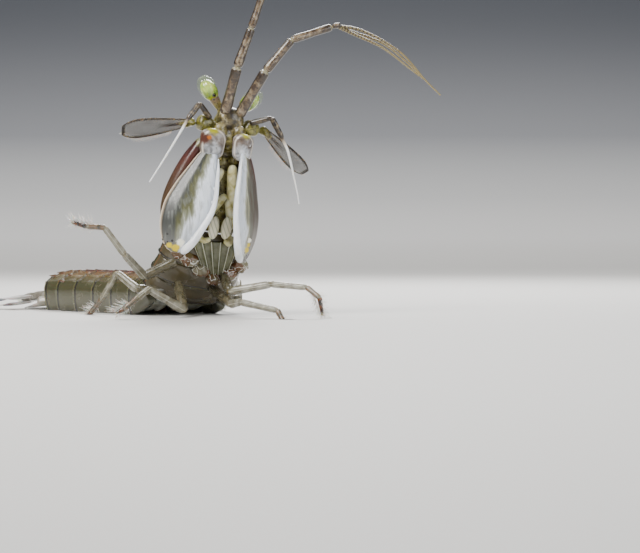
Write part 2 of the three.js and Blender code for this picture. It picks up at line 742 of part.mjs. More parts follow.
const legs = {
  right: {
    1: [
      bodyPoint(27.6, -6.5, -2.6), chest(-12.4, -32.6, 1.4), chest(-18.6, -28.6, 6.7),
      chest(-23.8, -23.8, 7.1), chest(-27.4, -24.2, 7), chest(-30.4, -23.9, 6),
    ],
    2: [
      bodyPoint(31.7, -4.5, -3), chest(-4.4, -38, 8.1), chest(-13.1, -34.8, 10.5),
      chest(-15.8, -36.8, 13.4), chest(-18.1, -39.6, 13), chest(-19.4, -40.4, 13),
    ],
    3: backLeg(-1),
  },
  left: {
    1: [
      bodyPoint(27.6, 4, -2.8), chest(4.6, -32.6, 8.6), chest(12, -29.5, 13),
      chest(18.2, -28.8, 18), chest(20.5, -30.4, 20.6), chest(21.3, -33.8, 22),
    ],
    2: [
      bodyPoint(31.7, 3.4, -3), chest(4.6, -35, 11.6), chest(5.6, -34.2, 14.3),
      chest(12, -34.4, 20.6), chest(13.4, -36.8, 22.6), chest(14, -38.6, 23.6),
    ],
    3: backLeg(1),
  },
};

const legRadii = [1.1, 0.8, 0.62, 0.52, 0.5, 0.34];

function walkingLeg(name, number) {
  const body = limb(legs[name][number], legRadii, { sides: 6 });
  return cut(body, [...thoraxCleared, coreCleared, floorTool()]);
}

// Tail fan: telson and uropods lie in the dipped plane behind the sixth somite

function fanPoint(left, behind, up) {
  return bodyPoint(telsonStart + behind, left, up);
}

function telson() {
  const half = 6.6;
  const shape = new THREE.Shape();
  shape.moveTo(0, 0.5);
  const side = [[5.6, 0.5], [6.5, 2.5], [half, 6], [6.3, 9]];
  const teeth = [
    [7, 10.8], [5.6, 10.6], [4.9, 12.2], [5.1, 14.4], [3.6, 13.4], [2.4, 14], [2.2, 15.8], [1.2, 14.2],
  ];
  const right = [...side, ...teeth];
  for (const [x, y] of right) shape.lineTo(x, y);
  shape.lineTo(0, 13.6);
  for (const [x, y] of right.reverse()) shape.lineTo(-x, y);
  const crown = (x, y) => 0.9 * (1 - (x / 7.5) ** 2) * (1 - y / 24);
  const thick = 1.7;
  const drop = 0.6;
  const slab = plate(shape, thick, ({ x, y, z }) => fanPoint(x, y, z + crown(x, y) - drop), 0.45);
  const ridge = (x0, y0, x1, y1, radius) => {
    const top = thick / 2 - drop;
    const from = fanPoint(x0, y0, top + crown(x0, y0) - 0.25);
    const to = fanPoint(x1, y1, top + crown(x1, y1) - 0.35);
    return sweep(line(from, to), [[0, radius * 0.5], [0.4, radius], [1, 0.2]], { sides: 6 });
  };
  const ridges = [ridge(0, 1, 0, 13, 0.95)];
  for (const side of [-1, 1]) {
    ridges.push(ridge(side * 1.7, 9.5, side * 2.2, 14.9, 0.6));
    ridges.push(ridge(side * 4, 8.5, side * 4.9, 13.6, 0.6));
    ridges.push(ridge(side * 5.4, 3, side * 6.6, 10.2, 0.55));
  }
  return join([slab, ...ridges]);
}

function leaf(from, to, half, thickness) {
  const shares = [[0, 0.35], [0.15, 0.72], [0.45, 1], [0.75, 0.92], [0.93, 0.55], [1, 0.2]];
  const profile = shares.map(([t, r]) => [t, r * half]);
  const thin = fanPoint(0, 0, 1).sub(fanPoint(0, 0, 0));
  return sweep(line(from, to), profile, { sides: 12, flat: thickness / 2 / half, thin });
}

// The stem carries two long spines that lie under the fan, the inner one longer
function uropodBase(side) {
  const root = fanPoint(side * 7, 0.95, -2);
  const end = fanPoint(side * 9, 3, -1.9);
  const stem = limb([root, end], [1.5, 1.4], { sides: 8, flat: 0.8, thin: vec(0, 0.01, 1) });
  const inner = spine(fanPoint(side * 7.6, 1.6, -2.5), fanPoint(side * 7.1, 10, -2.75), 0.7, 6);
  const outer = spine(fanPoint(side * 8.6, 1.9, -2.5), fanPoint(side * 8.9, 7, -2.85), 0.6, 6);
  return join([stem, inner, outer]);
}

// The exopod's first joint has a row of movable spines on its outer edge
function uropodExopod(side) {
  const from = [9.8, 3.7];
  const to = [12, 9.8];
  const pieces = [leaf(fanPoint(side * from[0], from[1], -0.5), fanPoint(side * to[0], to[1], -0.5), 1.6, 1)];
  for (let i = 0; i < 7; i++) {
    const share = 0.3 + 0.105 * i;
    const x = THREE.MathUtils.lerp(from[0], to[0], share) + 1;
    const y = THREE.MathUtils.lerp(from[1], to[1], share);
    const reach = 1 + 0.13 * i;
    const root = fanPoint(side * (x - 0.5), y - 0.4, -0.5);
    pieces.push(spine(root, fanPoint(side * (x + reach), y + reach, -0.5), 0.3));
  }
  return join(pieces);
}

function uropodPaddle(side) {
  return leaf(fanPoint(side * 12.1, 10.3, -0.5), fanPoint(side * 13.6, 16.8, -0.6), 2, 0.8);
}

function uropodEndopod(side) {
  return leaf(fanPoint(side * 9.1, 4.4, -1.75), fanPoint(side * 9.9, 14, -1.7), 1.6, 0.8);
}

// The animal

addNode("carapace", carapace(), colours.shell);
addNode("rostral_plate", rostralPlate(), colours.shell);
addNode("head_and_mouth", headAndMouth(), colours.flesh);
thoraxLengths.forEach((length, i) => {
  const ridges = i > 0 ? coxalRidges(i) : [];
  addNode(`thorax_${i + 5}`, join([thoraxSomite(i), ...ridges]), colours.tergite);
});
abdomenLengths.forEach((length, i) => addNode(`abdomen_${i + 1}`, abdomenSomite(i), colours.tergite));
addNode("telson", telson(), colours.tergite);
for (const [name, side] of [["left", 1], ["right", -1]]) {
  addNode(`uropod_base_${name}`, uropodBase(side), colours.fan);
  addNode(`uropod_exopod_${name}`, uropodExopod(side), colours.fan);
  addNode(`uropod_paddle_${name}`, uropodPaddle(side), colours.fan);
  addNode(`uropod_endopod_${name}`, uropodEndopod(side), colours.fan);
  addNode(`eye_stalk_${name}`, eyeStalk(name, side), colours.stalk);
  addNode(`eye_${name}`, eyeCornea(name, side), colours.eye, 0.1);
  addNode(`antennule_${name}`, antennulePeduncle(name), colours.antennule);
  addNode(`antennule_whips_${name}`, antennuleWhips(name), colours.antennule);
  addNode(`antenna_base_${name}`, cut(antennaBase(name), [coreCleared]), colours.eye);
  addNode(`antenna_scale_${name}`, cut(antennaScale(name), [antennaBase(name, gap)]), colours.scale);
  addNode(`antenna_${name}`, antennaStem(name), colours.limb);
  addNode(`claw_merus_${name}`, cut(clawMerus(name), [coreCleared, clawBlade(name, gap)]), colours.merus);
  addNode(`claw_wrist_${name}`, cut(clawCarpus(name), [coreCleared, clawMerus(name, gap)]), colours.merus);
  const blade = cut(clawBlade(name), [clawCarpus(name, gap), clawFinger(name, gap)]);
  addNode(`claw_blade_${name}`, blade, colours.claw, 0.2);
  addNode(`claw_finger_${name}`, clawFinger(name), colours.claw, 0.2);
  for (const number of [1, 3, 4, 5]) {
    const body = cut(maxilliped(name, number), [coreCleared, ...thoraxCleared]);
    addNode(`maxilliped_${number}_${name}`, body, colours.limb);
  }
  for (const number of [1, 2, 3]) {
    addNode(`leg_${number}_${name}`, walkingLeg(name, number), colours.limb);
  }
}

export default group;
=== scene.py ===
import bpy
import bmesh
import math
from mathutils import Matrix, Vector, noise


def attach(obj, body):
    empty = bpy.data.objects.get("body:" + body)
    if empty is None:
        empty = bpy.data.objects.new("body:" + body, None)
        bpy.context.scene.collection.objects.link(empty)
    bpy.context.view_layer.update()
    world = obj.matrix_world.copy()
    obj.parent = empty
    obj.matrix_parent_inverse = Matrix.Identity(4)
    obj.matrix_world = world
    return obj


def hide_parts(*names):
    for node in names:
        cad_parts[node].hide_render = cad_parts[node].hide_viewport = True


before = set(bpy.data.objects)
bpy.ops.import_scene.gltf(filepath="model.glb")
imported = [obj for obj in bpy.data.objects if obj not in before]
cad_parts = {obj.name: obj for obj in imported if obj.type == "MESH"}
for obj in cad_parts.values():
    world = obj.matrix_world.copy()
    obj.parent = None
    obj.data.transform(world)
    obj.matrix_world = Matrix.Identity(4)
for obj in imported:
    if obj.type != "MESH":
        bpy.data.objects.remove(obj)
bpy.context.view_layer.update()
mm = 0.001  # every size below is in millimetres until a mesh is made
lowest = {"shell": 0.03, "bristle": 0.05, "fringe": 0.25}  # heights over the floor that nothing is under
sides = {"left": 1, "right": -1}
print("frame loaded:", len(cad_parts), "nodes")


# The body's axis, as the solids have it: attitudes at a few stations, walked backwards in small steps
body = {
    "gap": 0.3, "carapaceLength": 21.0, "thoraxLengths": [2.6, 4, 4.2, 4.4],
    "abdomenLengths": [7.2, 7.5, 7.5, 7.5, 7.2, 6.4], "telsonLength": 16.0,
    "axisHeight": 4.6, "shellTop": 4.5, "carapaceFront": 4.6, "carapaceRear": 9.6,
    "thoraxHalfWidths": [8.6, 9.5, 9.9, 10.1], "abdomenHalfWidths": [10.2, 10.5, 10.6, 10.5, 10.2, 9.2],
    "lean": 10, "chestYaw": 18, "bendLength": 22, "bendHeading": 36, "tailHeading": 50, "lastTurn": 4,
    "tailPitch": 7, "axisStep": 0.25,
}


def attitude(head, dorsal):
    z = head.normalized()
    x = dorsal.cross(z).normalized()
    return Matrix((x, z.cross(x), z)).transposed().to_quaternion()


def levelTurn(heading, pitch):
    h, p = math.radians(heading), math.radians(pitch)
    head = Vector((math.sin(h) * math.cos(p), -math.cos(h) * math.cos(p), math.sin(p)))
    return attitude(head, Vector((0, 0, 1)))


leanAngle, yawAngle = math.radians(body["lean"]), math.radians(body["chestYaw"])
upright = attitude(Vector((math.sin(leanAngle), 0, math.cos(leanAngle))),
                   Vector((-math.sin(yawAngle), math.cos(yawAngle), 0)))
tailTurn = levelTurn(body["tailHeading"], body["tailPitch"])
thoraxStart = body["carapaceLength"]
abdomenStart = thoraxStart + sum(body["thoraxLengths"])
telsonStart = abdomenStart + sum(body["abdomenLengths"])
bodyEnd = telsonStart + body["telsonLength"] + 2
stations = [
    (0, upright), (thoraxStart, upright),
    (thoraxStart + body["bendLength"], levelTurn(body["bendHeading"], 0)),
    (telsonStart - body["abdomenLengths"][5], levelTurn(body["tailHeading"] - body["lastTurn"], 0)),
    (telsonStart, tailTurn), (bodyEnd, tailTurn),
]


def turnAt(s):
    i = 0
    while i < len(stations) - 2 and s > stations[i + 1][0]:
        i += 1
    (s0, q0), (s1, q1) = stations[i], stations[i + 1]
    return q0.slerp(q1, min(1, max(0, (s - s0) / (s1 - s0))))


axisPoints = [Vector()]
while len(axisPoints) * body["axisStep"] < bodyEnd + 1:
    at = (len(axisPoints) - 0.5) * body["axisStep"]
    axisPoints.append(axisPoints[-1] - turnAt(at) @ Vector((0, 0, body["axisStep"])))


def rawAxis(s):
    place = min(len(axisPoints) - 1.001, max(0, s / body["axisStep"]))
    i = int(place)
    return axisPoints[i].lerp(axisPoints[i + 1], place - i)


originStation = abdomenStart + body["abdomenLengths"][0] + body["abdomenLengths"][1] / 2
axisShift = Vector((0, 0, body["axisHeight"])) - rawAxis(originStation)


def bodyPoint(s, left, back):
    ahead = upright @ Vector((0, 0, max(0, -s)))
    return rawAxis(max(0, s)) + axisShift + turnAt(s) @ Vector((left, back, 0)) + ahead


def chestWay(left, up, out):
    return upright @ Vector((left, -out, up))


def chest(left, up, out):
    return bodyPoint(0, 0, 0) + chestWay(left, up, out)


def chestLine(places):
    return [chest(*place) for place in places]


def fanPoint(left, behind, up):
    return bodyPoint(telsonStart + behind, left, up)


def smooth(low, high, x):
    t = min(1, max(0, (x - low) / (high - low)))
    return t * t * (3 - 2 * t)


def mixed(a, b, t):
    return a + (b - a) * t


def peak(x, middle, width):
    return math.exp(-((x - middle) / width) ** 2)


def wobble(x, y, size):
    return noise.noise(Vector((x, y, 0)) / size)


def square(vector, way):
    # the part of vector at right angles to way
    return (vector - way * vector.dot(way)).normalized()


outWay = chestWay(0, 0, 1)


# Forms: closed surfaces, with the values along, across and mark that the finishes read
curveSteps = 26


class Form:
    def __init__(self):
        self.verts, self.faces, self.along, self.across, self.mark = [], [], [], [], []

    def vertex(self, point, along, across, mark):
        self.verts.append(point)
        self.along.append(along)
        self.across.append(across)
        self.mark.append(mark)
        return len(self.verts) - 1

    def rings(self, rings):
        # each ring is a list of (point, along, across, mark), all of one length, and a pole closes each end
        ids = [[self.vertex(*v) for v in ring] for ring in rings]
        n = len(ids[0])
        for a, b in zip(ids, ids[1:]):
            for k in range(n):
                self.faces.append((a[k], a[(k + 1) % n], b[(k + 1) % n], b[k]))
        for ring, source in ((ids[0], rings[0]), (ids[-1], rings[-1])):
            pole = self.vertex(sum((v[0] for v in source), Vector()) / n, source[0][1], 0, source[0][3])
            for k in range(n):
                self.faces.append((ring[k], ring[(k + 1) % n], pole))

    def shell(self, outer, inner):
        # two sheets of points, [row][column], joined round their border
        rows, columns = len(outer), len(outer[0])
        top, under = ([[self.vertex(*v) for v in row] for row in sheet] for sheet in (outer, inner))
        for i in range(rows - 1):
            for k in range(columns - 1):
                self.faces.append((top[i][k], top[i][k + 1], top[i + 1][k + 1], top[i + 1][k]))
                self.faces.append((under[i][k + 1], under[i][k], under[i + 1][k], under[i + 1][k + 1]))
        for i in range(rows - 1):
            for k in (0, columns - 1):
                self.faces.append((top[i][k], top[i + 1][k], under[i + 1][k], under[i][k]))
        for k in range(columns - 1):
            for i in (0, rows - 1):
                self.faces.append((top[i][k], top[i][k + 1], under[i][k + 1], under[i][k]))


def sheet(rows, columns, point):
    return [[point(j / rows, k / columns) for k in range(columns + 1)] for j in range(rows + 1)]


def eased(a, slopeA, b, slopeB, u):
    # from a to b with the slopes given at the ends
    return (a * (2 * u ** 3 - 3 * u ** 2 + 1) + slopeA * (u ** 3 - 2 * u ** 2 + u)
            + b * (3 * u ** 2 - 2 * u ** 3) + slopeB * (u ** 3 - u ** 2))


def curveThrough(points, style):
    # dense points of a curve through points: "bent" keeps limbs straight between joints, "round" doesn't
    dense = []
    count = len(points)
    for i in range(count - 1):
        p1, p2 = points[i], points[i + 1]
        p0 = points[i - 1] if i > 0 else p1 * 2 - p2
        p3 = points[i + 2] if i < count - 2 else p2 * 2 - p1
        if style == "bent":
            t1, t2 = (p2 - p0) * 0.2, (p3 - p1) * 0.2
        else:
            d0, d1, d2 = (max(1e-3, (b - a).length ** 0.5) for a, b in ((p0, p1), (p1, p2), (p2, p3)))
            t1 = ((p1 - p0) / d0 - (p2 - p0) / (d0 + d1) + (p2 - p1) / d1) * d1
            t2 = ((p2 - p1) / d1 - (p3 - p1) / (d1 + d2) + (p3 - p2) / d2) * d1
        for k in range(curveSteps + (i == count - 2)):
            dense.append(eased(p1, t1, p2, t2, k / curveSteps))
    return dense


class Path:
    def __init__(self, points, style="round"):
        self.dense = curveThrough([Vector(p) for p in points], style)
        self.reach = [0]
        for a, b in zip(self.dense, self.dense[1:]):
            self.reach.append(self.reach[-1] + (b - a).length)
        self.length = self.reach[-1]

    def at(self, t):
        goal = min(1, max(0, t)) * self.length
        low, high = 0, len(self.reach) - 1
        while high - low > 1:
            middle = (low + high) // 2
            low, high = (middle, high) if self.reach[middle] <= goal else (low, middle)
        step = max(1e-9, self.reach[high] - self.reach[low])
        return self.dense[low].lerp(self.dense[high], (goal - self.reach[low]) / step)

    def way(self, t):
        return (self.at(min(1, t + 0.008)) - self.at(max(0, t - 0.008))).normalized()


def tableAt(table, t):
    # a smooth curve through a table of (share, value)
    if t <= table[0][0]:
        return table[0][1]
    for i in range(len(table) - 1):
        (t1, v1), (t2, v2) = table[i], table[i + 1]
        if t <= t2:
            t0, v0 = table[i - 1] if i else (2 * t1 - t2, v1)
            t3, v3 = table[i + 2] if i < len(table) - 2 else (2 * t2 - t1, v2)
            slope1 = (v2 - v0) / (t2 - t0) * (t2 - t1)
            slope2 = (v3 - v1) / (t3 - t1) * (t2 - t1)
            return max(0.02, eased(v1, slope1, v2, slope2, (t - t1) / (t2 - t1)))
    return table[-1][1]


def tube(form, points, profile, count=20, steps=40, flat=1.0, thin=(0, 1, 0.01), style="round", swell=None,
         mark=0.0):
    # thin is the way in which the section is flattened; swell(t, angle) adds to the radius
    path = Path(points, style)
    firstReach, lastReach = profile[0][1] * flat, profile[-1][1] * flat
    shares = {i / steps for i in range(steps + 1)}
    for i in range(1, 5):
        off = 1 - math.cos(math.pi / 2 * i / 5)
        shares.add(min(0.5, firstReach * off / path.length))
        shares.add(1 - min(0.5, lastReach * off / path.length))
    rings = []
    for t in sorted(shares):
        start, end = t * path.length / firstReach, (1 - t) * path.length / lastReach
        close = math.sqrt(max(0.0004, 1 - max(0, 1 - start, 1 - end) ** 2))
        r = tableAt(profile, t) * close
        way = path.way(t)
        over = square(Vector(thin), way)
        wide = way.cross(over)
        ring = []
        for k in range(count):
            angle = 2 * math.pi * k / count
            c, s = math.cos(angle), math.sin(angle)
            more = swell(t, angle) * close if swell else 0
            point = path.at(t) + wide * c * (r + more) + over * s * (r * flat + more)
            ring.append((point, t, c, mark))
        rings.append(ring)
    form.rings(rings)
    return path


def rod(form, a, b, profile, before=0.0, beyond=0.0, **more):
    # a straight tube from a to b, drawn out by before and beyond at its ends
    way = (b - a).normalized()
    return tube(form, [a - way * before, a.lerp(b, 0.5), b + way * beyond], profile, **more)


def spine(form, root, tip, radius):
    rod(form, root, tip, [(0, radius), (0.5, radius * 0.62), (1, radius * 0.12)], count=8, steps=8)


def blob(form, centre, size, turn=upright, count=20, mark=0.0, shape=None):
    rings = []
    rows = count // 2 + 2
    for i in range(rows + 1):
        polar = math.pi * min(0.997, max(0.003, i / rows))
        ring = []
        for k in range(count):
            angle = 2 * math.pi * k / count
            unit = Vector((math.sin(polar) * math.cos(angle), math.sin(polar) * math.sin(angle),
                           math.cos(polar)))
            point = Vector([a * b for a, b in zip(unit, size)]) * (shape(unit) if shape else 1)
            ring.append((turn @ point + centre, i / rows, math.cos(angle), mark))
        rings.append(ring)
    form.rings(rings)


def placed(name, data):
    made = bpy.data.objects.new(name, data)
    bpy.context.scene.collection.objects.link(made)
    return made


def bare(name, form):
    mesh = bpy.data.meshes.new(name)
    verts = [Vector((v.x, v.y, max(lowest["shell"], v.z))) * mm for v in form.verts]
    mesh.from_pydata(verts, [], form.faces)
    for label in ("along", "across", "mark"):
        mesh.attributes.new(label, "FLOAT", "POINT").data.foreach_set("value", getattr(form, label))
    build = bmesh.new()
    build.from_mesh(mesh)
    bmesh.ops.recalc_face_normals(build, faces=build.faces)
    build.to_mesh(mesh)
    build.free()
    mesh.shade_smooth()
    return placed(name, mesh)


def settle(piece, material, replaced=()):
    piece.data.materials.clear()
    piece.data.materials.append(material)
    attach(piece, "root")
    if replaced:
        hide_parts(*replaced)


def makePiece(name, form, material, slot, *replaced):
    settle(bare(name, form), material, replaced)


def applied(piece):
    # the piece with its modifiers made part of a plain mesh
    view = piece.evaluated_get(bpy.context.evaluated_depsgraph_get())
    mesh = bpy.data.meshes.new_from_object(view)
    piece.modifiers.clear()
    piece.data = mesh
    return piece


def skinned(piece, voxel, passes):
    # one closed skin over all that overlaps in the piece, smoothed
    remesh = piece.modifiers.new("skin", "REMESH")
    remesh.mode = "VOXEL"
    remesh.voxel_size = voxel * mm
    remesh.use_smooth_shade = True
    relax = piece.modifiers.new("relax", "SMOOTH")
    relax.factor = 0.5
    relax.iterations = passes
    return applied(piece)


# Node trees, for finishes and for Geometry Nodes

class Value:
    # a node's output that can be reckoned with
    def __init__(self, nodes, socket):
        self.nodes, self.socket = nodes, socket

    def __add__(self, other):
        return self.nodes.maths("ADD", self, other)

    def __sub__(self, other):
        return self.nodes.maths("SUBTRACT", self, other)

    def __rsub__(self, other):
        return self.nodes.maths("SUBTRACT", other, self)

    def __mul__(self, other):
        return self.nodes.maths("MULTIPLY", self, other)

    def __or__(self, other):
        return self.nodes.maths("MAXIMUM", self, other)

    def __abs__(self):
        return self.nodes.maths("ABSOLUTE", self)


class Nodes:
    def __init__(self, tree):
        self.tree = tree

    def node(self, kind, inputs, output=0, **settings):
        node = self.tree.nodes.new(kind)
        for label, value in settings.items():
            setattr(node, label, value)
        for label, value in inputs.items():
            if isinstance(value, Value):
                self.tree.links.new(value.socket, node.inputs[label])
            else:
                node.inputs[label].default_value = value
        return Value(self, node.outputs[output])

    def maths(self, operation, a, b=0.0, **settings):
        return self.node("ShaderNodeMath", {0: a, 1: b}, operation=operation, **settings)

    def vector(self, operation, inputs, output=0):
        return self.node("ShaderNodeVectorMath", inputs, output, operation=operation)


sockets = {"rough": "Roughness", "coat": "Coat Weight", "coatRough": "Coat Roughness",
           "depth": "Subsurface Weight", "scatter": "Subsurface Scale", "spread": "Subsurface Radius",
           "alpha": "Alpha"}
toneStops = (0.3, 0.5, 0.7)


def rgba(colour):
    return (*colour, 1) if isinstance(colour, tuple) else colour


class Finish(Nodes):
    # a material on object coordinates and on the forms' own values, built up in layers of colour
    def __init__(self, name, **values):
        self.material = bpy.data.materials.new(name)
        self.material.use_nodes = True
        super().__init__(self.material.node_tree)
        self.shader = self.tree.nodes["Principled BSDF"]
        for label, value in values.items():
            self.shader.inputs[sockets[label]].default_value = value
        self.place = self.node("ShaderNodeTexCoord", {}, "Object")
        self.colour = None

    def value(self, label):
        return self.node("ShaderNodeAttribute", {}, "Fac", attribute_name=label)

    def axis(self, letter):
        return self.node("ShaderNodeSeparateXYZ", {"Vector": self.place}, letter)

    def grain(self, size, detail=3, stretch=None, distort=0.0):
        # noise whose features are about size millimetres across
        place = self.place
        if stretch:
            place = self.node("ShaderNodeMapping", {"Vector": place, "Scale": (1, 1, stretch)})
        return self.node("ShaderNodeTexNoise", {"Vector": place, "Scale": 1 / (size * mm), "Detail": detail,
                                                "Distortion": distort}, "Fac")

    def cells(self, size):
        return self.node("ShaderNodeTexVoronoi", {"Vector": self.place, "Scale": 1 / (size * mm)},
                         "Distance")

    def band(self, value, low, high):
        # rises from 0 at low to 1 at high, also where low is the larger
        return self.node("ShaderNodeMapRange", {"Value": value, "From Min": low, "From Max": high},
                         interpolation_type="SMOOTHSTEP")

    def spot(self, centre, radius, soft=0.5):
        # 1 inside a ball about centre, in millimetres, and 0 outside it
        away = self.vector("DISTANCE", {0: self.place, 1: centre * mm}, "Value")
        return self.band(away, radius * (1 + soft) * mm, radius * (1 - soft) * mm)

    def away(self, centre, way):
        # distance in millimetres from a line through centre along way
        off = self.vector("SUBTRACT", {0: self.place, 1: centre * mm})
        side = self.vector("CROSS_PRODUCT", {0: off, 1: way})
        return self.vector("LENGTH", {0: side}, "Value") * (1 / mm)

    def disc(self, centre, radius, soft=0.3, way=outWay):
        # a ragged round spot, as seen along way
        ragged = (self.grain(radius * 0.7, 2) - 0.5) * (radius * 1.1)
        return self.band(self.away(centre, way) + ragged, radius * (1 + soft), radius * (1 - soft))

    def mix(self, share, a, b):
        return self.node("ShaderNodeMix", {0: share, 6: rgba(a), 7: rgba(b)}, 2, data_type="RGBA")

    def ramp(self, value, stops):
        made = self.node("ShaderNodeValToRGB", {"Fac": value}, "Color")
        elements = made.socket.node.color_ramp.elements
        while len(elements) < len(stops):
            elements.new(0.5)
        for element, (place, colour) in zip(elements, stops):
            element.position = place
            element.color = rgba(colour)
        return made

    def tones(self, value, *colours):
        return self.ramp(value, list(zip(toneStops, colours)))

    def layer(self, share, colour, strength=1):
        # another colour over what is there, where share is 1
        share = share if strength == 1 else share * strength
        self.colour = self.mix(share, self.colour, colour)

    def bump(self, height, strength, depth):
        bumped = self.node("ShaderNodeBump", {"Height": height, "Strength": strength,
                                              "Distance": depth * mm})
        self.wire("Normal", bumped)

    def wire(self, label, value):
        self.tree.links.new(value.socket, self.shader.inputs[label])

    def paint(self, rough=None):
        self.wire("Base Color", self.colour)
        if rough:
            self.wire("Roughness", rough)
        return self.material


def translucent(name, depth, **more):
    return Finish(name, **{"rough": 0.3, "coat": 0.35, "coatRough": 0.12, "depth": depth, "scatter": 0.0015,
                           "spread": (1.0, 0.8, 0.5), **more})


# Camera, at the photo's angle: its image is 640 by 553 pixels, a millimetre at the chest is 4.77 pixels
view = {"target": (35.6, -23.0, 8.6), "distance": 400, "rise": 8.4, "pixelsPerMm": 4.77, "imageWidth": 640,
        "sensor": 36, "clip": (0.01, 20)}
stageSizes = {
    "halfWidth": 1600, "front": -1300, "wallStart": 600, "curve": 320, "curveRows": 16, "wallTop": 1200,
    "shadeFade": 0.19,
    "tones": [(0.0, (0.62, 0.61, 0.59)), (0.02, (0.66, 0.65, 0.64)), (0.12, (0.5, 0.5, 0.5)),
              (0.4, (0.23, 0.235, 0.25)), (1, (0.055, 0.06, 0.072))],
}
lights = {
    "key": {"place": (-160, -260, 330), "size": 200, "watts": 2.9, "colour": (1, 0.98, 0.95)},
    "fill": {"place": (330, -300, 150), "size": 260, "watts": 0.9, "colour": (0.93, 0.96, 1)},
    "rim": {"place": (60, 230, 260), "size": 160, "watts": 1.7, "colour": (1, 1, 1)},
    "back": {"place": (0, 430, 620), "size": 900, "watts": 6.5, "colour": (1, 0.99, 0.97),
             "aim": (0, 860, 20)},
}
ambient = {"colour": (0.8, 0.84, 0.9), "strength": 0.26, "aim": (10, -10, 30)}


def aimed(thing, place, target):
    thing.location = place * mm
    thing.rotation_euler = (target - place).to_track_quat("-Z", "Y").to_euler()


def addCamera():
    data = bpy.data.cameras.new("camera")
    data.sensor_width = view["sensor"]
    data.lens = view["pixelsPerMm"] * view["distance"] / view["imageWidth"] * view["sensor"]
    data.clip_start, data.clip_end = view["clip"]
    camera = placed("camera", data)
    target = Vector(view["target"])
    aimed(camera, target + Vector((0, -view["distance"], view["rise"])), target)
    bpy.context.scene.camera = camera


def addStage():
    # a pale floor that curves up into a backdrop, with painted shade that darkens it with height
    start, curve, rowCount = stageSizes["wallStart"], stageSizes["curve"], stageSizes["curveRows"]
    rows = [(stageSizes["front"], 0), (start, 0)]
    for i in range(1, rowCount + 1):
        angle = math.pi / 2 * i / rowCount
        rows.append((start + math.sin(angle) * curve, (1 - math.cos(angle)) * curve))
    rows.append((rows[-1][0], stageSizes["wallTop"]))
    wide = stageSizes["halfWidth"]
    verts = [Vector((x, y, z)) * mm for y, z in rows for x in (-wide, wide)]
    faces = [(2 * i, 2 * i + 1, 2 * i + 3, 2 * i + 2) for i in range(len(rows) - 1)]
    mesh = bpy.data.meshes.new("studioSweep")
    mesh.from_pydata(verts, [], faces)
    mesh.shade_smooth()
    look = Finish("studioPaper", rough=0.75)
    # painted shade: the paper's colour darkens up the wall, standing in for light that falls off with height
    look.colour = look.ramp(look.band(look.axis("Z"), 0.0, stageSizes["shadeFade"]), stageSizes["tones"])
    mesh.materials.append(look.paint())
    placed("studioSweep", mesh)


def addLights():
    for name, light in lights.items():
        data = bpy.data.lights.new(name, "AREA")
        data.size = light["size"] * mm
        data.energy = light["watts"]
        data.color = light["colour"]
        aimed(placed(name, data), Vector(light["place"]), Vector(light.get("aim", ambient["aim"])))
    world = bpy.data.worlds.new("studio")
    world.use_nodes = True
    background = world.node_tree.nodes["Background"].inputs
    background["Color"].default_value = rgba(ambient["colour"])
    background["Strength"].default_value = ambient["strength"]
    bpy.context.scene.world = world


addCamera()
addStage()
addLights()
print("camera, stage and lights set")


# Shell plates of the thorax and abdomen, with keels at (place across the plate, height)
plates = {
    "thoraxKeels": [(0.2, 0.22), (0.55, 0.24)],
    "abdomenKeels": [(0.13, 0.26), (0.42, 0.32), (0.7, 0.32), (0.92, 0.28)],
    "keelWidth": 0.022, "backPower": 2.3, "columns": 120, "rows": 18, "lip": 0.16, "overlap": 0.55,
    "bellyRecess": 2.2, "chestColumns": 48, "bellyColumns": 24, "edgeInset": 0.5,
    "spines": {4: (2, 3), 5: (0, 1, 2)},
    "belly": [(0, 1.4), (0.5, 2.1), (1, 1.4)],
}


def dome(x, power):
    return (1 - min(1, abs(x)) ** power) ** (1 / power)


def keelAt(x, keels):
    return sum(height * peak(abs(x), place, plates["keelWidth"]) for place, height in keels)


def somite(part, i):
    lengths = body[part + "Lengths"]
    start = (thoraxStart if part == "thorax" else abdomenStart) + sum(lengths[:i])
    return body[part + "HalfWidths"][i], start, lengths[i]


def plateBack(halfWidth, keels, t, s):
    # the outer line of a plate from the animal's left edge to its right one, as (left, back, across)
    points = []
    for k in range(plates["columns"] + 1):
        x = math.cos(math.pi * k / plates["columns"])
        y = body["shellTop"] * dome(x, plates["backPower"]) + keelAt(x, keels) * smooth(0.05, 0.3, t)
        groove = 0.1 * peak(t, 0.27, 0.03) * (1 - x ** 6)
        pits = 0.05 * wobble(x * halfWidth, s, 0.9)
        points.append((x * halfWidth, y - groove + pits, x))
    return points


def plateRing(points, s, t, lipShare, close=1):
    lip = plates["lip"] * smooth(0.86, 0.97, t) / body["shellTop"] * lipShare
    size = (0.955 + 0.045 * smooth(0, 0.8, t) + lip) * close
    return [(bodyPoint(s, left * size, back * (size if back > 0 else 1)), t, across, 0.0)
            for left, back, across in points]


def thoraxPlate(i, form):
    halfWidth, start, length = somite("thorax", i)
    columns = plates["chestColumns"]
    rings = []
    for j in range(plates["rows"] + 1):
        t = j / plates["rows"]
        s = start + 0.2 + (length - 0.25) * t
        points = plateBack(halfWidth, plates["thoraxKeels"], t, s)
        for k in range(1, columns):
            x = -math.cos(math.pi * k / columns)
            fold = 0.12 * math.sin(t * 9 + abs(x) * 5)
            points.append((x * halfWidth * 0.98, -4.2 * dome(x, 2.6) + fold * dome(x, 2), 2.0))
        close = 1 - 0.05 * (1 - math.sqrt(1 - max(0, t - 0.93) ** 2 / 0.07 ** 2 * 0.96))
        rings.append(plateRing(points, s, t, 1, close))
    form.rings(rings)


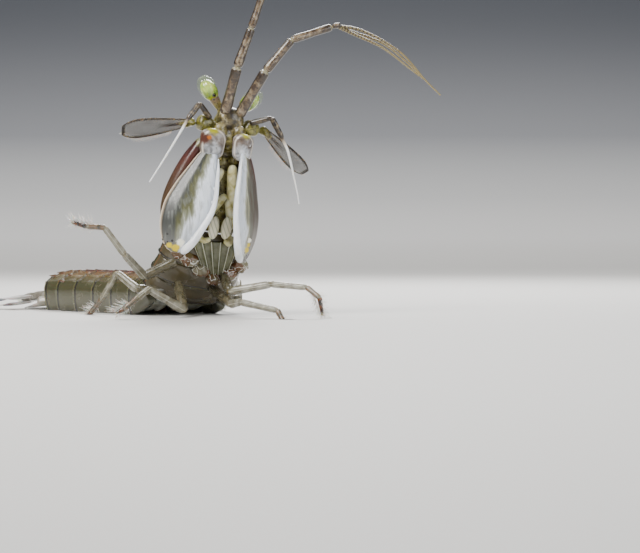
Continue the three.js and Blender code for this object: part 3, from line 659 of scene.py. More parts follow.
def abdomenPlate(i, form):
    halfWidth, start, length = somite("abdomen", i)
    overlap = plates["overlap"] if i < 5 else 0.1
    edge = halfWidth - plates["edgeInset"]
    low, columns = -body["axisHeight"], plates["bellyColumns"]
    sternum, bellyWidth = low + plates["bellyRecess"], edge - 2.2
    rings = []
    for j in range(plates["rows"] + 1):
        t = j / plates["rows"]
        s = start + 0.15 + (length - 0.3 + overlap) * t
        points = plateBack(halfWidth, plates["abdomenKeels"], t, s)
        hem = low + 0.35 * smooth(0.75, 1, abs(2 * t - 1)) ** 2
        side = [(halfWidth, -1.1), (halfWidth * 0.995, -2.2), (edge + 0.25, -3.4), (edge, hem + 0.12),
                (edge - 0.25, hem), (edge - 1.0, hem), (edge - 1.3, hem + 0.15), (edge - 1.7, low + 1.2),
                (bellyWidth, sternum)]
        points += [(-left, back, -1.2) for left, back in side]
        for k in range(1, columns):
            x = -math.cos(math.pi * k / columns)
            points.append((x * bellyWidth,
                           sternum - 0.35 * math.cos(x * math.pi * 1.5) * smooth(0, 0.3, t), 3.0))
        points += [(left, back, 1.2) for left, back in reversed(side)]
        rings.append(plateRing(points, s, t, 0.5))
    form.rings(rings)
    for k in plates["spines"].get(i, ()):
        place = plates["abdomenKeels"][k][0]
        x, y = place * halfWidth, body["shellTop"] * dome(place, plates["backPower"])
        for side in (-1, 1):
            spine(form, bodyPoint(start + length - 1.8, side * x, y),
                  bodyPoint(start + length + 1.1, side * x, y + 0.35), 0.42)
    # the bar under the belly that the animal rests on
    tube(form, [bodyPoint(start + length * 0.25, 0, -3.2), bodyPoint(start + length * 0.8, 0, -3.2)],
         plates["belly"], count=28, flat=0.66, thin=(0, 0.01, 1), mark=1.0)


# Plates' finish: maroon middle, ochre flanks, olive sides, a dark hind line and a pale green hem
plateTones = [(0.0, (0.085, 0.032, 0.02)), (0.13, (0.11, 0.042, 0.024)), (0.2, (0.14, 0.066, 0.024)),
              (0.3, (0.18, 0.105, 0.036)), (0.38, (0.1, 0.072, 0.024)), (0.47, (0.052, 0.05, 0.02)),
              (0.62, (0.07, 0.068, 0.035))]


def plateFinish(name, hem, belly):
    look = Finish(name, rough=0.34, coat=0.5, coatRough=0.16, depth=0.08, scatter=0.001)
    across, along = abs(look.value("across")), look.value("along")
    speckle, patch = look.grain(0.35, 4), look.grain(2.6, 3, distort=0.6)
    moved = across + (patch - 0.5) * 0.18
    look.colour = look.ramp(moved * 0.5, plateTones + [(0.8, belly)])
    look.layer(look.band(speckle, 0.52, 0.7), (0.06, 0.045, 0.03), 0.6)
    look.layer(look.band(patch, 0.5, 0.75), (0.12, 0.11, 0.06), 0.4)
    look.layer(look.band(along, 0.86, 0.885) * look.band(along, 0.945, 0.925), (0.015, 0.013, 0.012), 0.85)
    look.layer(look.band(along, 0.955, 0.975), hem, 0.75)
    look.bump(speckle + look.cells(0.7) * 0.6, 0.35, 0.12)
    return look.paint(look.band(patch, 0.1, 1.6))


backFinish = plateFinish("bandedShell", (0.17, 0.17, 0.075), (0.3, 0.29, 0.2))
# painted shade: the thorax's copy of the plate finish has a darker belly and hem than the abdomen's, for the
# shade under the claws
chestShadedFinish = plateFinish("thoraxShell", (0.13, 0.13, 0.06), (0.07, 0.055, 0.025))
for part, count, first, build, look in (("thorax", 4, 5, thoraxPlate, chestShadedFinish),
                                        ("abdomen", 6, 1, abdomenPlate, backFinish)):
    for i in range(count):
        form = Form()
        build(i, form)
        makePiece(f"{part}Plate{i + first}", form, look, "banded_shell", f"{part}_{i + first}")
print("thorax and abdomen plates made")


# Carapace and rostral plate
shield = {"keels": [(0.05, 0.2), (0.4, 0.28), (0.82, 0.24)], "thickness": 0.7, "drop": 0.06, "columns": 110,
          "rows": 70, "frontHeight": 3.7}
rostrum = {"rows": 30, "columns": 24, "length": 4.1, "halfWidth": (2.0, 1.5), "roundFrom": 0.62,
           "lifts": (0.42, -0.36)}


def carapacePoint(t, column, thickness):
    x = math.cos(math.pi * column)
    wide = mixed(body["carapaceFront"], body["carapaceRear"], t ** 0.75)
    high = mixed(shield["frontHeight"], body["shellTop"], t ** 0.6)
    detail = keelAt(x, shield["keels"]) * smooth(0, 0.08, t) * (1 - smooth(0.93, 1, t))
    detail -= 0.2 * peak(abs(x), 0.56, 0.03) * smooth(0, 0.1, t) * (1 - smooth(0.75, 0.95, t))
    detail -= 0.28 * peak(t, 0.52 + 0.12 * abs(x), 0.018) * (1 - abs(x) ** 8)
    detail += 0.12 * smooth(0.955, 0.985, t) + 0.05 * wobble(x * wide, t * 21, 0.8)
    drop = shield["drop"]
    rim = math.copysign(0.07 * smooth(0.94, 1, abs(x)), x)
    lift = 0 if thickness else detail
    height = (1 + drop - thickness / body["shellTop"]) * dome(x, 2.1) - drop
    s = (0.1 + (body["carapaceLength"] - body["gap"] - 0.1) * t
         + (1 - t) * 1.6 * x * x + t * 0.6 * (x * x - 1))
    side = x * wide * (0.95 if thickness else 1) * (1 + lift * 0.3 * abs(x) / wide)
    return bodyPoint(s, side + rim, height * high + lift), t, x, 0.0


def rostralPoint(v, column, lift):
    x = math.cos(math.pi * column)
    root, end = rostrum["halfWidth"]
    past = (v - rostrum["roundFrom"]) / (1 - rostrum["roundFrom"])
    half = (end * math.sqrt(max(0.003, 1 - past ** 2)) if past >= 0
            else mixed(root, end, v / rostrum["roundFrom"]))
    up = 0.2 + rostrum["length"] * v
    crown = lift * (1 - abs(x) ** 4 * 0.75) + (0.16 * peak(x, 0, 0.09) if lift > 0 else 0)
    return chest(x * half, up, -(3.35 - up * 0.12) - crown), v, x, 0.0


def carapaceFinish():
    look = Finish("carapaceShell", rough=0.32, coat=0.5, coatRough=0.15, depth=0.1, scatter=0.001)
    across, along = abs(look.value("across")), look.value("along")
    patch, fine = look.grain(2.2, 4, distort=0.8), look.grain(0.3, 4)
    look.colour = look.tones(patch, (0.12, 0.1, 0.055), (0.25, 0.22, 0.13), (0.36, 0.34, 0.24))
    keelTones = [(0.0, 0.9), (0.1, 0), (0.34, 0), (0.4, 0.9), (0.46, 0), (0.76, 0), (0.83, 1), (0.92, 0.2)]
    look.layer(look.ramp(across, [(place, (grey,) * 3) for place, grey in keelTones]),
               (0.06, 0.042, 0.03), 0.8)
    look.layer(look.band(along, 0.6, 0.95) * look.band(patch, 0.42, 0.6), (0.26, 0.31, 0.33), 0.65)
    look.layer(look.band(along, 0.975, 0.99), (0.03, 0.025, 0.02), 0.8)
    look.layer(look.band(fine, 0.55, 0.7), (0.05, 0.04, 0.03), 0.5)
    look.bump(fine + look.cells(0.6), 0.3, 0.1)
    return look.paint(look.band(patch, 0.1, 1.7))


def makeShields():
    look = carapaceFinish()
    form = Form()
    form.shell(*(sheet(shield["rows"], shield["columns"], lambda t, u: carapacePoint(t, u, thickness))
                 for thickness in (0, shield["thickness"])))
    for side in (-1, 1):
        spine(form, chest(side * 4.6, -2.9, -0.4), chest(side * 5.1, 0.9, -1.3), 0.5)
    makePiece("carapaceShield", form, look, "carapace_shell", "carapace")
    form = Form()
    form.shell(*(sheet(rostrum["rows"], rostrum["columns"], lambda v, u: rostralPoint(v, u, lift))
                 for lift in rostrum["lifts"]))
    makePiece("rostralShield", form, look, "carapace_shell", "rostral_plate")


makeShields()
print("carapace and rostral plate made")


# Places of the head's pieces, in chest measures: left, up, out
eyes = {"left": (4.4, 8.2, -0.4), "right": (-5.4, 9, -0.4)}
antennae = {
    "left": {"base": [(3, 1.6, 0.8), (6.6, 2.9, 1.9)], "scale": [(7.2, 2.7, 2), (18.5, -5, 2)],
             "stem": [(4.2, 3.2, 3), (8.2, 5.1, 4.6), (11, 1.2, 5.6)], "thin": (0, 0.42, 1),
             "whip": [(12.5, -1, 5.8), (15.1, -6.6, 5.6), (17, -11.1, 5.4), (18.2, -15.4, 5.2)]},
    "right": {"base": [(-3, 1.4, 0.8), (-7.2, 1.4, 1.9)], "scale": [(-7.8, 1.2, 2), (-22.7, -3.3, 2)],
              "stem": [(-4.6, 2.6, 3), (-7.8, 5.2, 4.5), (-10, 1.4, 5.6)], "thin": (0, 1, 1),
              "whip": [(-11.2, -1.6, 6), (-13.3, -6.6, 6.6), (-15.6, -11.8, 7.2), (-17.8, -16.4, 7.8)]},
}
# the trunk inside the carapace: station, half width, height to the back and to the front
coreTable = [(-5.2, 2.1, 1.2, 2.2), (-3, 3, 1.7, 3), (0, 3.5, 1.9, 3.3), (5, 4, 2.4, 3.4),
             (14, 4.7, 2.9, 3.5), (21, 5.2, 2.9, 3.6)]
skinSizes = {"voxel": 0.16, "passes": 6, "rows": 60, "columns": 40, "power": 2.7, "coreStart": -5.3,
             "coreLength": body["carapaceLength"] + 5.2}
headBlobs = [((0, 3.2, 1.9), (3.0, 2.0, 2.7)), ((0, -2.6, 3.3), (1.5, 2, 1.1))]
pairedBlobs = [((1.7, -5.4, 3.1), (1.2, 2, 1.2)), ((2.1, 0.6, 3.2), (1.5, 1.2, 1.7)),
               ((1.5, 3.2, 2.4), (1.2, 1.3, 1.5))]


def coreAt(s, column):
    for a, b in zip(coreTable, coreTable[1:]):
        if s <= b[0]:
            return mixed(a[column], b[column], max(0, (s - a[0]) / (b[0] - a[0])))
    return coreTable[-1][column]


def eyeRoot(side):
    return chest(side * 1.5, 4.6, -0.3)


def skinForm():
    form = Form()
    rings = []
    power = skinSizes["power"]
    for j in range(skinSizes["rows"]):
        s = skinSizes["coreStart"] + skinSizes["coreLength"] * j / (skinSizes["rows"] - 1)
        ring = []
        for k in range(skinSizes["columns"]):
            angle = 2 * math.pi * k / skinSizes["columns"]
            c, w = math.cos(angle), math.sin(angle)
            r = (abs(c) ** power + abs(w) ** power) ** (-1 / power)
            deep = coreAt(s, 2 if w > 0 else 3) + 0.12 * math.sin(s * 2.4) * (1 if w < 0 else 0.2)
            ring.append((bodyPoint(s, c * r * coreAt(s, 1), w * r * deep), 0, 0, 0))
        rings.append(ring)
    form.rings(rings)
    for place, size in headBlobs:
        blob(form, chest(*place), size)
    for side in (-1, 1):
        for (left, up, out), size in pairedBlobs:
            blob(form, chest(side * left, up, out), size)
    for name, side in sides.items():
        base = chestLine(antennae[name]["base"])
        tube(form, base, [(0, 1.4), (0.5, 1.75), (0.85, 1.6), (1, 1.1)], count=24, steps=20,
             swell=lambda t, angle: 0.14 * math.sin(angle * 3 + t * 6))
        a, b = chestLine(antennae[name]["scale"])
        a = a.lerp(base[-1], 0.6)
        tube(form, [a, a.lerp(b, 0.1), a.lerp(b, 0.24)], [(0, 1.2), (0.5, 1.05), (1, 0.5)], steps=16,
             flat=0.75, thin=(0, 0.42, 1), swell=lambda t, angle: 0.12 * math.sin(angle * 3 + t * 9))
        root, eye = eyeRoot(side), chest(*eyes[name])
        tube(form, [root.lerp(eye, share) for share in (-0.15, 0.4, 0.86)],
             [(0, 0.95), (0.35, 0.85), (0.7, 1.15), (1, 1.3)], steps=20)
    return form


def fleshFinish():
    look = translucent("headFlesh", 0.25)
    patch, fine = look.grain(1.6, 4, distort=0.7), look.grain(0.35, 3)
    look.colour = look.ramp(patch, [(0.3, (0.035, 0.022, 0.006)), (0.45, (0.14, 0.11, 0.02)),
                                    (0.58, (0.3, 0.26, 0.08)), (0.7, (0.5, 0.46, 0.25))])
    lime = look.ramp(fine, [(0.38, (0.02, 0.016, 0.004)), (0.5, (0.17, 0.16, 0.008)),
                            (0.68, (0.36, 0.36, 0.08))])
    for name in sides:
        for place in chestLine(antennae[name]["base"]):
            look.layer(look.spot(place, 2.6, 0.4), lime, 0.75)
    brow = look.ramp(patch, [(0.38, (0.018, 0.011, 0.007)), (0.5, (0.085, 0.06, 0.035)),
                             (0.7, (0.27, 0.22, 0.15))])
    look.layer(look.spot(chest(0, 3.4, 3), 3.4), brow, 0.7)
    for name in sides:
        look.layer(look.spot(chest(*eyes[name]), 3.6, 0.2), (0.24, 0.15, 0.1), 0.8)
    look.layer(look.band(fine, 0.58, 0.63), (0.012, 0.009, 0.006))
    look.bump(fine + patch, 0.35, 0.2)
    return look.paint()


# One skin over the head, mouth, antenna bases and eye stalks, so that no seam shows
settle(skinned(bare("headSkin", skinForm()), skinSizes["voxel"], skinSizes["passes"]),
       fleshFinish(),
       ["head_and_mouth"] + [f"{part}_{name}" for part in ("antenna_base", "eye_stalk") for name in sides])
print("skin made")


# Eyes: a lime body with a dark spot and a painted highlight, under a clear two-lobed cornea
eyeLook = {"bodySize": (1.72, 1.72, 2.55), "rimSize": (2.12, 2.0, 2.85), "back": 0.55, "ahead": 0.2,
           "lobe": 0.05}


def limeFinish(name, centre, way):
    look = Finish("eyeLime" + name, rough=0.12, coat=1.0, coatRough=0.03, depth=0.3, scatter=0.0015)
    look.colour = look.tones(look.grain(1.2, 2), (0.09, 0.16, 0.0), (0.26, 0.4, 0.005), (0.5, 0.66, 0.04))
    # painted highlight: a pale spot on the outward side of the eye, standing in for the glint of the lamps
    look.layer(look.spot(centre + way * 0.6 + chestWay(0, 0, 1.5), 1.3, 0.7), (0.75, 0.85, 0.25), 0.45)
    look.layer(look.spot(centre - way * 2.5, 1.25), (0.45, 0.2, 0.04), 0.8)
    look.layer(look.spot(centre - way * 1.5 + chestWay(0.3, -0.2, 1.75), 0.55, 0.2), (0.01, 0.01, 0.012))
    look.bump(look.cells(0.09), 0.2, 0.02)
    return look.paint()


def corneaFinish():
    look = Finish("eyeCornea", rough=0.04, alpha=0.16, coat=1.0, coatRough=0.02)
    look.colour = look.ramp(look.grain(1), [(0, (0.3, 0.42, 0.16)), (1, (0.4, 0.5, 0.25))])
    return look.paint()


def lobed(unit):
    return 1 - eyeLook["lobe"] * peak(unit.x * 0.5 + unit.y, 0, 0.2)


clear = corneaFinish()
for name, side in sides.items():
    centre = chest(*eyes[name])
    way = (centre - eyeRoot(side)).normalized()
    turn = way.to_track_quat("Z", "Y")
    form, rim = Form(), Form()
    blob(form, centre - way * eyeLook["back"], eyeLook["bodySize"], turn, 40, shape=lobed)
    makePiece("eyeBody" + name, form, limeFinish(name, centre, way), "cornea", f"eye_{name}")
    blob(rim, centre + way * eyeLook["ahead"], eyeLook["rimSize"], turn, 40, shape=lobed)
    makePiece("eyeCornea" + name, rim, clear, "cornea")
print("eyes made")


# Geometry Nodes: bristles along guide lines, and ringed whips along paths

def newTree(name, inputs):
    tree = bpy.data.node_groups.new(name, "GeometryNodeTree")
    for label, kind, value in [("Geometry", "Geometry", None), *inputs, ("Material", "Material", None)]:
        socket = tree.interface.new_socket(label, in_out="INPUT", socket_type="NodeSocket" + kind)
        if value is not None:
            socket.default_value = value
    tree.interface.new_socket("Geometry", in_out="OUTPUT", socket_type="NodeSocketGeometry")
    nodes = Nodes(tree)
    return nodes, {item.name: Value(nodes, item)
                   for item in tree.nodes.new("NodeGroupInput").outputs if item.name}


def endTree(nodes, given, geometry):
    realized = nodes.node("GeometryNodeRealizeInstances", {"Geometry": geometry})
    painted = nodes.node("GeometryNodeSetMaterial", {"Geometry": realized, "Material": given["Material"]})
    nodes.tree.links.new(painted.socket, nodes.tree.nodes.new("NodeGroupOutput").inputs[0])
    return nodes.tree


def bristleTree():
    nodes, given = newTree("bristles", [("Count", "Int", 40), ("Length", "Float", 0.002),
                                        ("Thickness", "Float", 0.00005), ("Spread", "Float", 0.2),
                                        ("Seed", "Int", 1)])
    lines = nodes.node("GeometryNodeMeshToCurve", {"Mesh": given["Geometry"]})
    spaced = nodes.node("GeometryNodeResampleCurve", {"Curve": lines, "Count": given["Count"]})
    aim = nodes.node("GeometryNodeInputNamedAttribute", {"Name": "aim"}, data_type="FLOAT_VECTOR")
    size = nodes.node("GeometryNodeInputNamedAttribute", {"Name": "size"}, data_type="FLOAT")
    lean = nodes.node("FunctionNodeRandomValue", {0: (-1, -1, -1), 1: (1, 1, 1), "Seed": given["Seed"]},
                      data_type="FLOAT_VECTOR")
    spread = nodes.vector("SCALE", {0: lean, "Scale": given["Spread"]})
    turn = nodes.node("FunctionNodeAlignRotationToVector",
                      {"Vector": nodes.vector("ADD", {0: aim, 1: spread})}, axis="Z")
    uneven = nodes.node("FunctionNodeRandomValue", {2: 0.7, 3: 1.1, "Seed": given["Seed"] + 17.0}, 1,
                        data_type="FLOAT")
    scale = nodes.node("ShaderNodeCombineXYZ", {"X": given["Thickness"], "Y": given["Thickness"],
                                                "Z": given["Length"] * uneven * size})
    hair = nodes.node("GeometryNodeMeshCone", {"Vertices": 4, "Side Segments": 2, "Radius Top": 0.12,
                                               "Radius Bottom": 1.0, "Depth": 1.0})
    grove = nodes.node("GeometryNodeInstanceOnPoints", {"Points": spaced, "Instance": hair, "Rotation": turn,
                                                        "Scale": scale})
    return endTree(nodes, given, grove)


def whipTree():
    nodes, given = newTree("ringedWhip", [("Rings", "Int", 60), ("Root Radius", "Float", 0.0004),
                                          ("Tip Radius", "Float", 0.0001), ("Ripple", "Float", 0.15)])
    lines = nodes.node("GeometryNodeMeshToCurve", {"Mesh": given["Geometry"]})
    spaced = nodes.node("GeometryNodeResampleCurve", {"Curve": lines, "Count": given["Rings"] * 6.0})
    share = nodes.node("GeometryNodeSplineParameter", {}, "Factor")
    kept = nodes.node("GeometryNodeStoreNamedAttribute",
                      {"Geometry": spaced, "Name": "along", "Value": share},
                      data_type="FLOAT", domain="POINT")
    taper = nodes.node("ShaderNodeMapRange", {"Value": nodes.maths("POWER", share, 0.8),
                                              "To Min": given["Root Radius"], "To Max": given["Tip Radius"]})
    wave = abs(nodes.maths("SINE", share * given["Rings"] * math.pi))
    ring = nodes.node("GeometryNodeCurvePrimitiveCircle", {"Resolution": 10, "Radius": 1.0})
    skin = nodes.node("GeometryNodeCurveToMesh", {"Curve": kept, "Profile Curve": ring, "Fill Caps": True,
                                                  "Scale": taper * (wave * given["Ripple"] + 1.0)})
    return endTree(nodes, given, skin)


trees = {"bristles": bristleTree(), "ringedWhip": whipTree()}
bristleSizes = {  # count on a line, length, thickness, spread, seed
    "scaleFringe": (110, 1.7, 0.022, 0.08, 3), "mouthCombs": (18, 1.5, 0.06, 0.1, 5),
    "legBrushes": (18, 2.8, 0.06, 0.3, 11), "legHairs": (24, 2.4, 0.05, 0.5, 12),
    "pleopodFringes": (22, 1.3, 0.03, 0.04, 21), "tailFringes": (70, 1.7, 0.03, 0.05, 31),
}
# a whip's rings, root and tip radius, and ripple
whipSizes = {"antennule": (64, 0.36, 0.14, 0.14), "antenna": (70, 0.3, 0.13, 0.1)}
patchSize = {"vertices": 12, "width": 0.003}


def patches(mesh):
    # every bristle is a small patch of its own on the bake map, in the order in which they grow
    layer = mesh.uv_layers.new(name="OFBake")
    perHair, width = patchSize["vertices"], patchSize["width"]
    across = math.ceil(math.sqrt(max(1, len(mesh.vertices) // perHair)))
    spots = []
    for loop in mesh.loops:
        hair, corner = loop.vertex_index // perHair, loop.vertex_index % 4
        spots.append((hair % across + 0.5) / across + (corner % 2 - 0.5) * width)
        spots.append((hair // across + 0.5) / across + (corner // 2 - 0.5) * width)
    layer.data.foreach_set("uv", spots)


def grown(name, tree, guides, values, material, slot, *replaced):
    # guides are lines of (point, aim, size); values set the tree's named inputs
    mesh = bpy.data.meshes.new(name)
    dots = [dot for line in guides for dot in line]
    edges, first = [], 0
    for line in guides:
        edges += [(first + i, first + i + 1) for i in range(len(line) - 1)]
        first += len(line)
    mesh.from_pydata([point * mm for point, aim, size in dots], edges, [])
    aims = [c for point, aim, size in dots for c in aim]
    mesh.attributes.new("aim", "FLOAT_VECTOR", "POINT").data.foreach_set("vector", aims)
    mesh.attributes.new("size", "FLOAT", "POINT").data.foreach_set(
        "value", [size for point, aim, size in dots])
    piece = placed(name, mesh)
    grow = piece.modifiers.new(tree, "NODES")
    grow.node_group = trees[tree]
    inputs = {item.name: item.identifier for item in trees[tree].interface.items_tree
              if item.item_type == "SOCKET"}
    for label, value in {**values, "Material": material}.items():
        grow[inputs[label]] = value
    applied(piece)
    for vertex in piece.data.vertices:
        vertex.co.z = max(vertex.co.z, lowest["bristle"] * mm)
    piece.data.shade_smooth()
    if tree == "bristles":
        patches(piece.data)
    settle(piece, material, replaced)


def bristles(name, sizes, guides, material, slot):
    count, length, thick, spread, seed = bristleSizes[sizes]
    grown(name, "bristles", guides, {"Count": count, "Length": length * mm, "Thickness": thick * mm,
                                     "Spread": spread, "Seed": seed}, material, slot)


def whips(name, sizes, guides, material, *replaced):
    rings, root, tip, ripple = whipSizes[sizes]
    grown(name, "ringedWhip", guides, {"Rings": rings, "Root Radius": root * mm, "Tip Radius": tip * mm,
                                       "Ripple": ripple}, material, "feeler", *replaced)


def bristleFinish(name, colour):
    look = Finish(name, rough=0.35, depth=0.2, scatter=0.0005)
    look.colour = look.ramp(look.grain(1.5), [(0.3, tuple(c * 0.75 for c in colour)), (0.7, colour)])
    return look.paint()


paleBristle = bristleFinish("paleBristle", (0.78, 0.76, 0.7))
pinkBristle = bristleFinish("pinkBristle", (0.7, 0.52, 0.5))
darkBristle = bristleFinish("darkBristle", (0.3, 0.26, 0.16))


# Feelers
antennules = {
    "left": {"joints": [(1.5, 4.2, 2.6), (4.9, 14.6, 5.4), (9.3, 22.1, 5.6), (17.5, 26.5, 5.8)],
             "whips": [[(24.2, 27.2, 5), (34, 24.3, 5), (40.8, 19.5, 5), (44.8, 17, 5)],
                       [(22.6, 26, 5.6), (29.3, 24.4, 6.2), (35.7, 21.4, 6.6), (38.6, 20, 6.8)],
                       [(22.8, 26.6, 4), (30.5, 25.6, 3), (37.4, 22.4, 2.4), (41.2, 20, 2)]]},
    "right": {"joints": [(-1.6, 4, 2.6), (-1.3, 14.2, 5.2), (0.2, 22.8, 5.4), (1.5, 31.3, 5.6)],
              "whips": [[(4.2, 37.5, 5.4), (9.5, 45.5, 6), (17, 51.5, 6.6), (25, 54, 7)],
                        [(3, 37.8, 6.2), (5.4, 46, 8), (9, 53.5, 10), (13, 58, 12)],
                        [(1.2, 37.6, 4.4), (0.4, 45.4, 3.4), (-2, 52.6, 2.6), (-5, 57.5, 2)]]},
}
feelerSizes = {"peduncle": [1.1, 0.93, 0.76, 0.66], "hub": [(0, 0.52), (0.5, 0.6), (1, 0.42)],
               "stem": [(0, 0.5), (0.15, 0.62), (0.8, 0.58), (1, 0.42)], "guideSteps": 40,
               "whipShare": 0.8}
whipBars = 201.0


def feelerFinish():
    look = translucent("feelerShell", 0.3)
    along, across = look.value("along"), abs(look.value("across"))
    patch = look.grain(1.3, 4, distort=0.8)
    look.colour = look.tones(patch, (0.05, 0.032, 0.018), (0.15, 0.105, 0.062), (0.31, 0.255, 0.17))
    look.layer(look.band(look.grain(0.75, 3, distort=0.6), 0.54, 0.6), (0.022, 0.011, 0.009), 0.75)
    edge = look.band(across, 0.62, 0.85) * look.band(patch, 0.33, 0.5)
    dark = look.band(along, 0.66, 0.84) * look.band(patch, 0.34, 0.5)
    look.layer(edge | dark, (0.014, 0.008, 0.005), 0.85)
    look.layer(look.band(along, 0.93, 0.97) | look.band(along, 0.05, 0.02), (0.4, 0.37, 0.24), 0.75)
    look.bump(patch, 0.25, 0.1)
    return look.paint()


def whipFinish():
    look = translucent("whipShell", 0.25)
    along = look.value("along")
    bars = look.band(look.maths("SINE", along * whipBars), 0.0, 0.5) * look.band(along, 0.65, 0.3)
    look.colour = look.mix(bars, (0.19, 0.15, 0.055), (0.03, 0.016, 0.008))
    return look.paint()


def stemFinish():
    look = translucent("stemShell", 0.2)
    look.colour = look.ramp(look.grain(0.8, 3, distort=0.5), [
        (0.4, (0.008, 0.005, 0.004)), (0.55, (0.06, 0.04, 0.02)), (0.7, (0.22, 0.17, 0.09))])
    return look.paint()


def paleWhipFinish():
    look = translucent("paleWhip", 0.3)
    look.colour = look.ramp(look.value("along"), [
        (0.0, (0.08, 0.05, 0.03)), (0.07, (0.5, 0.44, 0.36)), (0.14, (0.85, 0.85, 0.82))])
    return look.paint()


def guideLine(path, share=1):
    steps = feelerSizes["guideSteps"]
    return [(path.at(share * i / steps), (0, 0, 1), 1.0) for i in range(steps + 1)]


def makeAntennules():
    skin, lash = feelerFinish(), whipFinish()
    radii = feelerSizes["peduncle"]
    for name, data in antennules.items():
        joints = chestLine(data["joints"])
        form = Form()
        for a, b, r0, r1 in zip(joints, joints[1:], radii, radii[1:]):
            rod(form, a, b, [(0, r0 * 0.8), (0.12, r0 * 1.05), (0.5, r0 * 0.94), (0.84, r1 * 1.14),
                             (0.94, r1 * 1.1), (1, r1 * 0.8)], 0.25, 0.1, count=28, steps=44,
                swell=lambda t, angle: 0.05 * math.cos(angle * 2))
        end = joints[3]
        way = (joints[3] - joints[2]).normalized()
        tube(form, [end + way * 0.1, end + way, end + way * 2], feelerSizes["hub"], steps=12)
        makePiece(f"antennuleShell{name}", form, skin, "feeler", f"antennule_{name}")
        guides = [guideLine(Path([end + way * 0.9] + chestLine(places))) for places in data["whips"]]
        whips(f"antennuleWhips{name}", "antennule", guides, lash, f"antennule_whips_{name}")


def makeAntennae():
    dark, pale = stemFinish(), paleWhipFinish()
    for name, data in antennae.items():
        stem = chestLine(data["stem"])
        form = Form()
        for a, b in zip(stem, stem[1:]):
            rod(form, a, b, feelerSizes["stem"], 0.15, 0.15, count=18, steps=24)
        makePiece(f"antennaStem{name}", form, dark, "feeler", f"antenna_{name}")
        path = Path([stem[-1]] + chestLine(data["whip"]))
        whips(f"antennaWhip{name}", "antenna", [guideLine(path, feelerSizes["whipShare"])], pale)


scaleSizes = {"profile": [(0, 0.8), (0.12, 1.3), (0.3, 1.9), (0.5, 2.45), (0.7, 2.75), (0.84, 2.6),
                          (0.94, 1.95), (1, 1.3)], "flat": 0.1, "fringeFrom": 0.3, "fringeSteps": 59}


def scaleFinish():
    look = translucent("clearScale", 0.2, rough=0.2)
    across, along = look.value("across"), look.value("along")
    rim = look.band(abs(across), 0.74, 0.86) | look.band(along, 0.94, 0.975)
    rib = look.band(across, -0.2, -0.05) * look.band(across, 0.16, 0.0) * look.band(along, 0.55, 0.3)
    solid = rim | rib
    look.colour = look.ramp(look.grain(1.4, 3), [(0.3, (0.13, 0.125, 0.11)), (0.7, (0.24, 0.235, 0.215))])
    look.layer(solid, (0.085, 0.055, 0.03), 0.75)
    look.layer(solid * look.band(look.cells(0.42), 0.9, 0.5), (0.007, 0.005, 0.004))
    look.wire("Alpha", look.maths("ADD", solid * 0.55, 0.42, use_clamp=True))
    return look.paint()


def veined(t, angle):
    return 0.05 * peak(math.cos(angle), 0, 0.12) + 0.03 * math.cos(angle * 9) * math.sin(angle) ** 2


def makeScales():
    look = scaleFinish()
    for name, data in antennae.items():
        a, b = chestLine(data["scale"])
        form = Form()
        path = rod(form, a, b, scaleSizes["profile"], count=64, steps=60, flat=scaleSizes["flat"],
                   thin=data["thin"], swell=veined)
        makePiece(f"antennaScale{name}", form, look, "clear_scale", f"antenna_scale_{name}")
        way = (b - a).normalized()
        wide = way.cross(square(Vector(data["thin"]), way))
        wide = -wide if wide.z > 0 else wide
        guide = []
        for i in range(scaleSizes["fringeSteps"] + 1):
            t = scaleSizes["fringeFrom"] + (1 - scaleSizes["fringeFrom"]) * i / scaleSizes["fringeSteps"]
            r = tableAt(scaleSizes["profile"], t) * 0.97
            swing = smooth(0.75, 1, t)
            guide.append((path.at(t) + wide * r * (1 - 0.5 * swing),
                          wide * (1 - 0.6 * swing) + way * (0.35 + swing),
                          0.45 + 0.55 * math.sin(math.pi * min(1, t * 1.1 - 0.1))))
        bristles(f"scaleFringe{name}", "scaleFringe", [guide], paleBristle, "clear_scale")


makeAntennules()
makeAntennae()
makeScales()
print("feelers made")


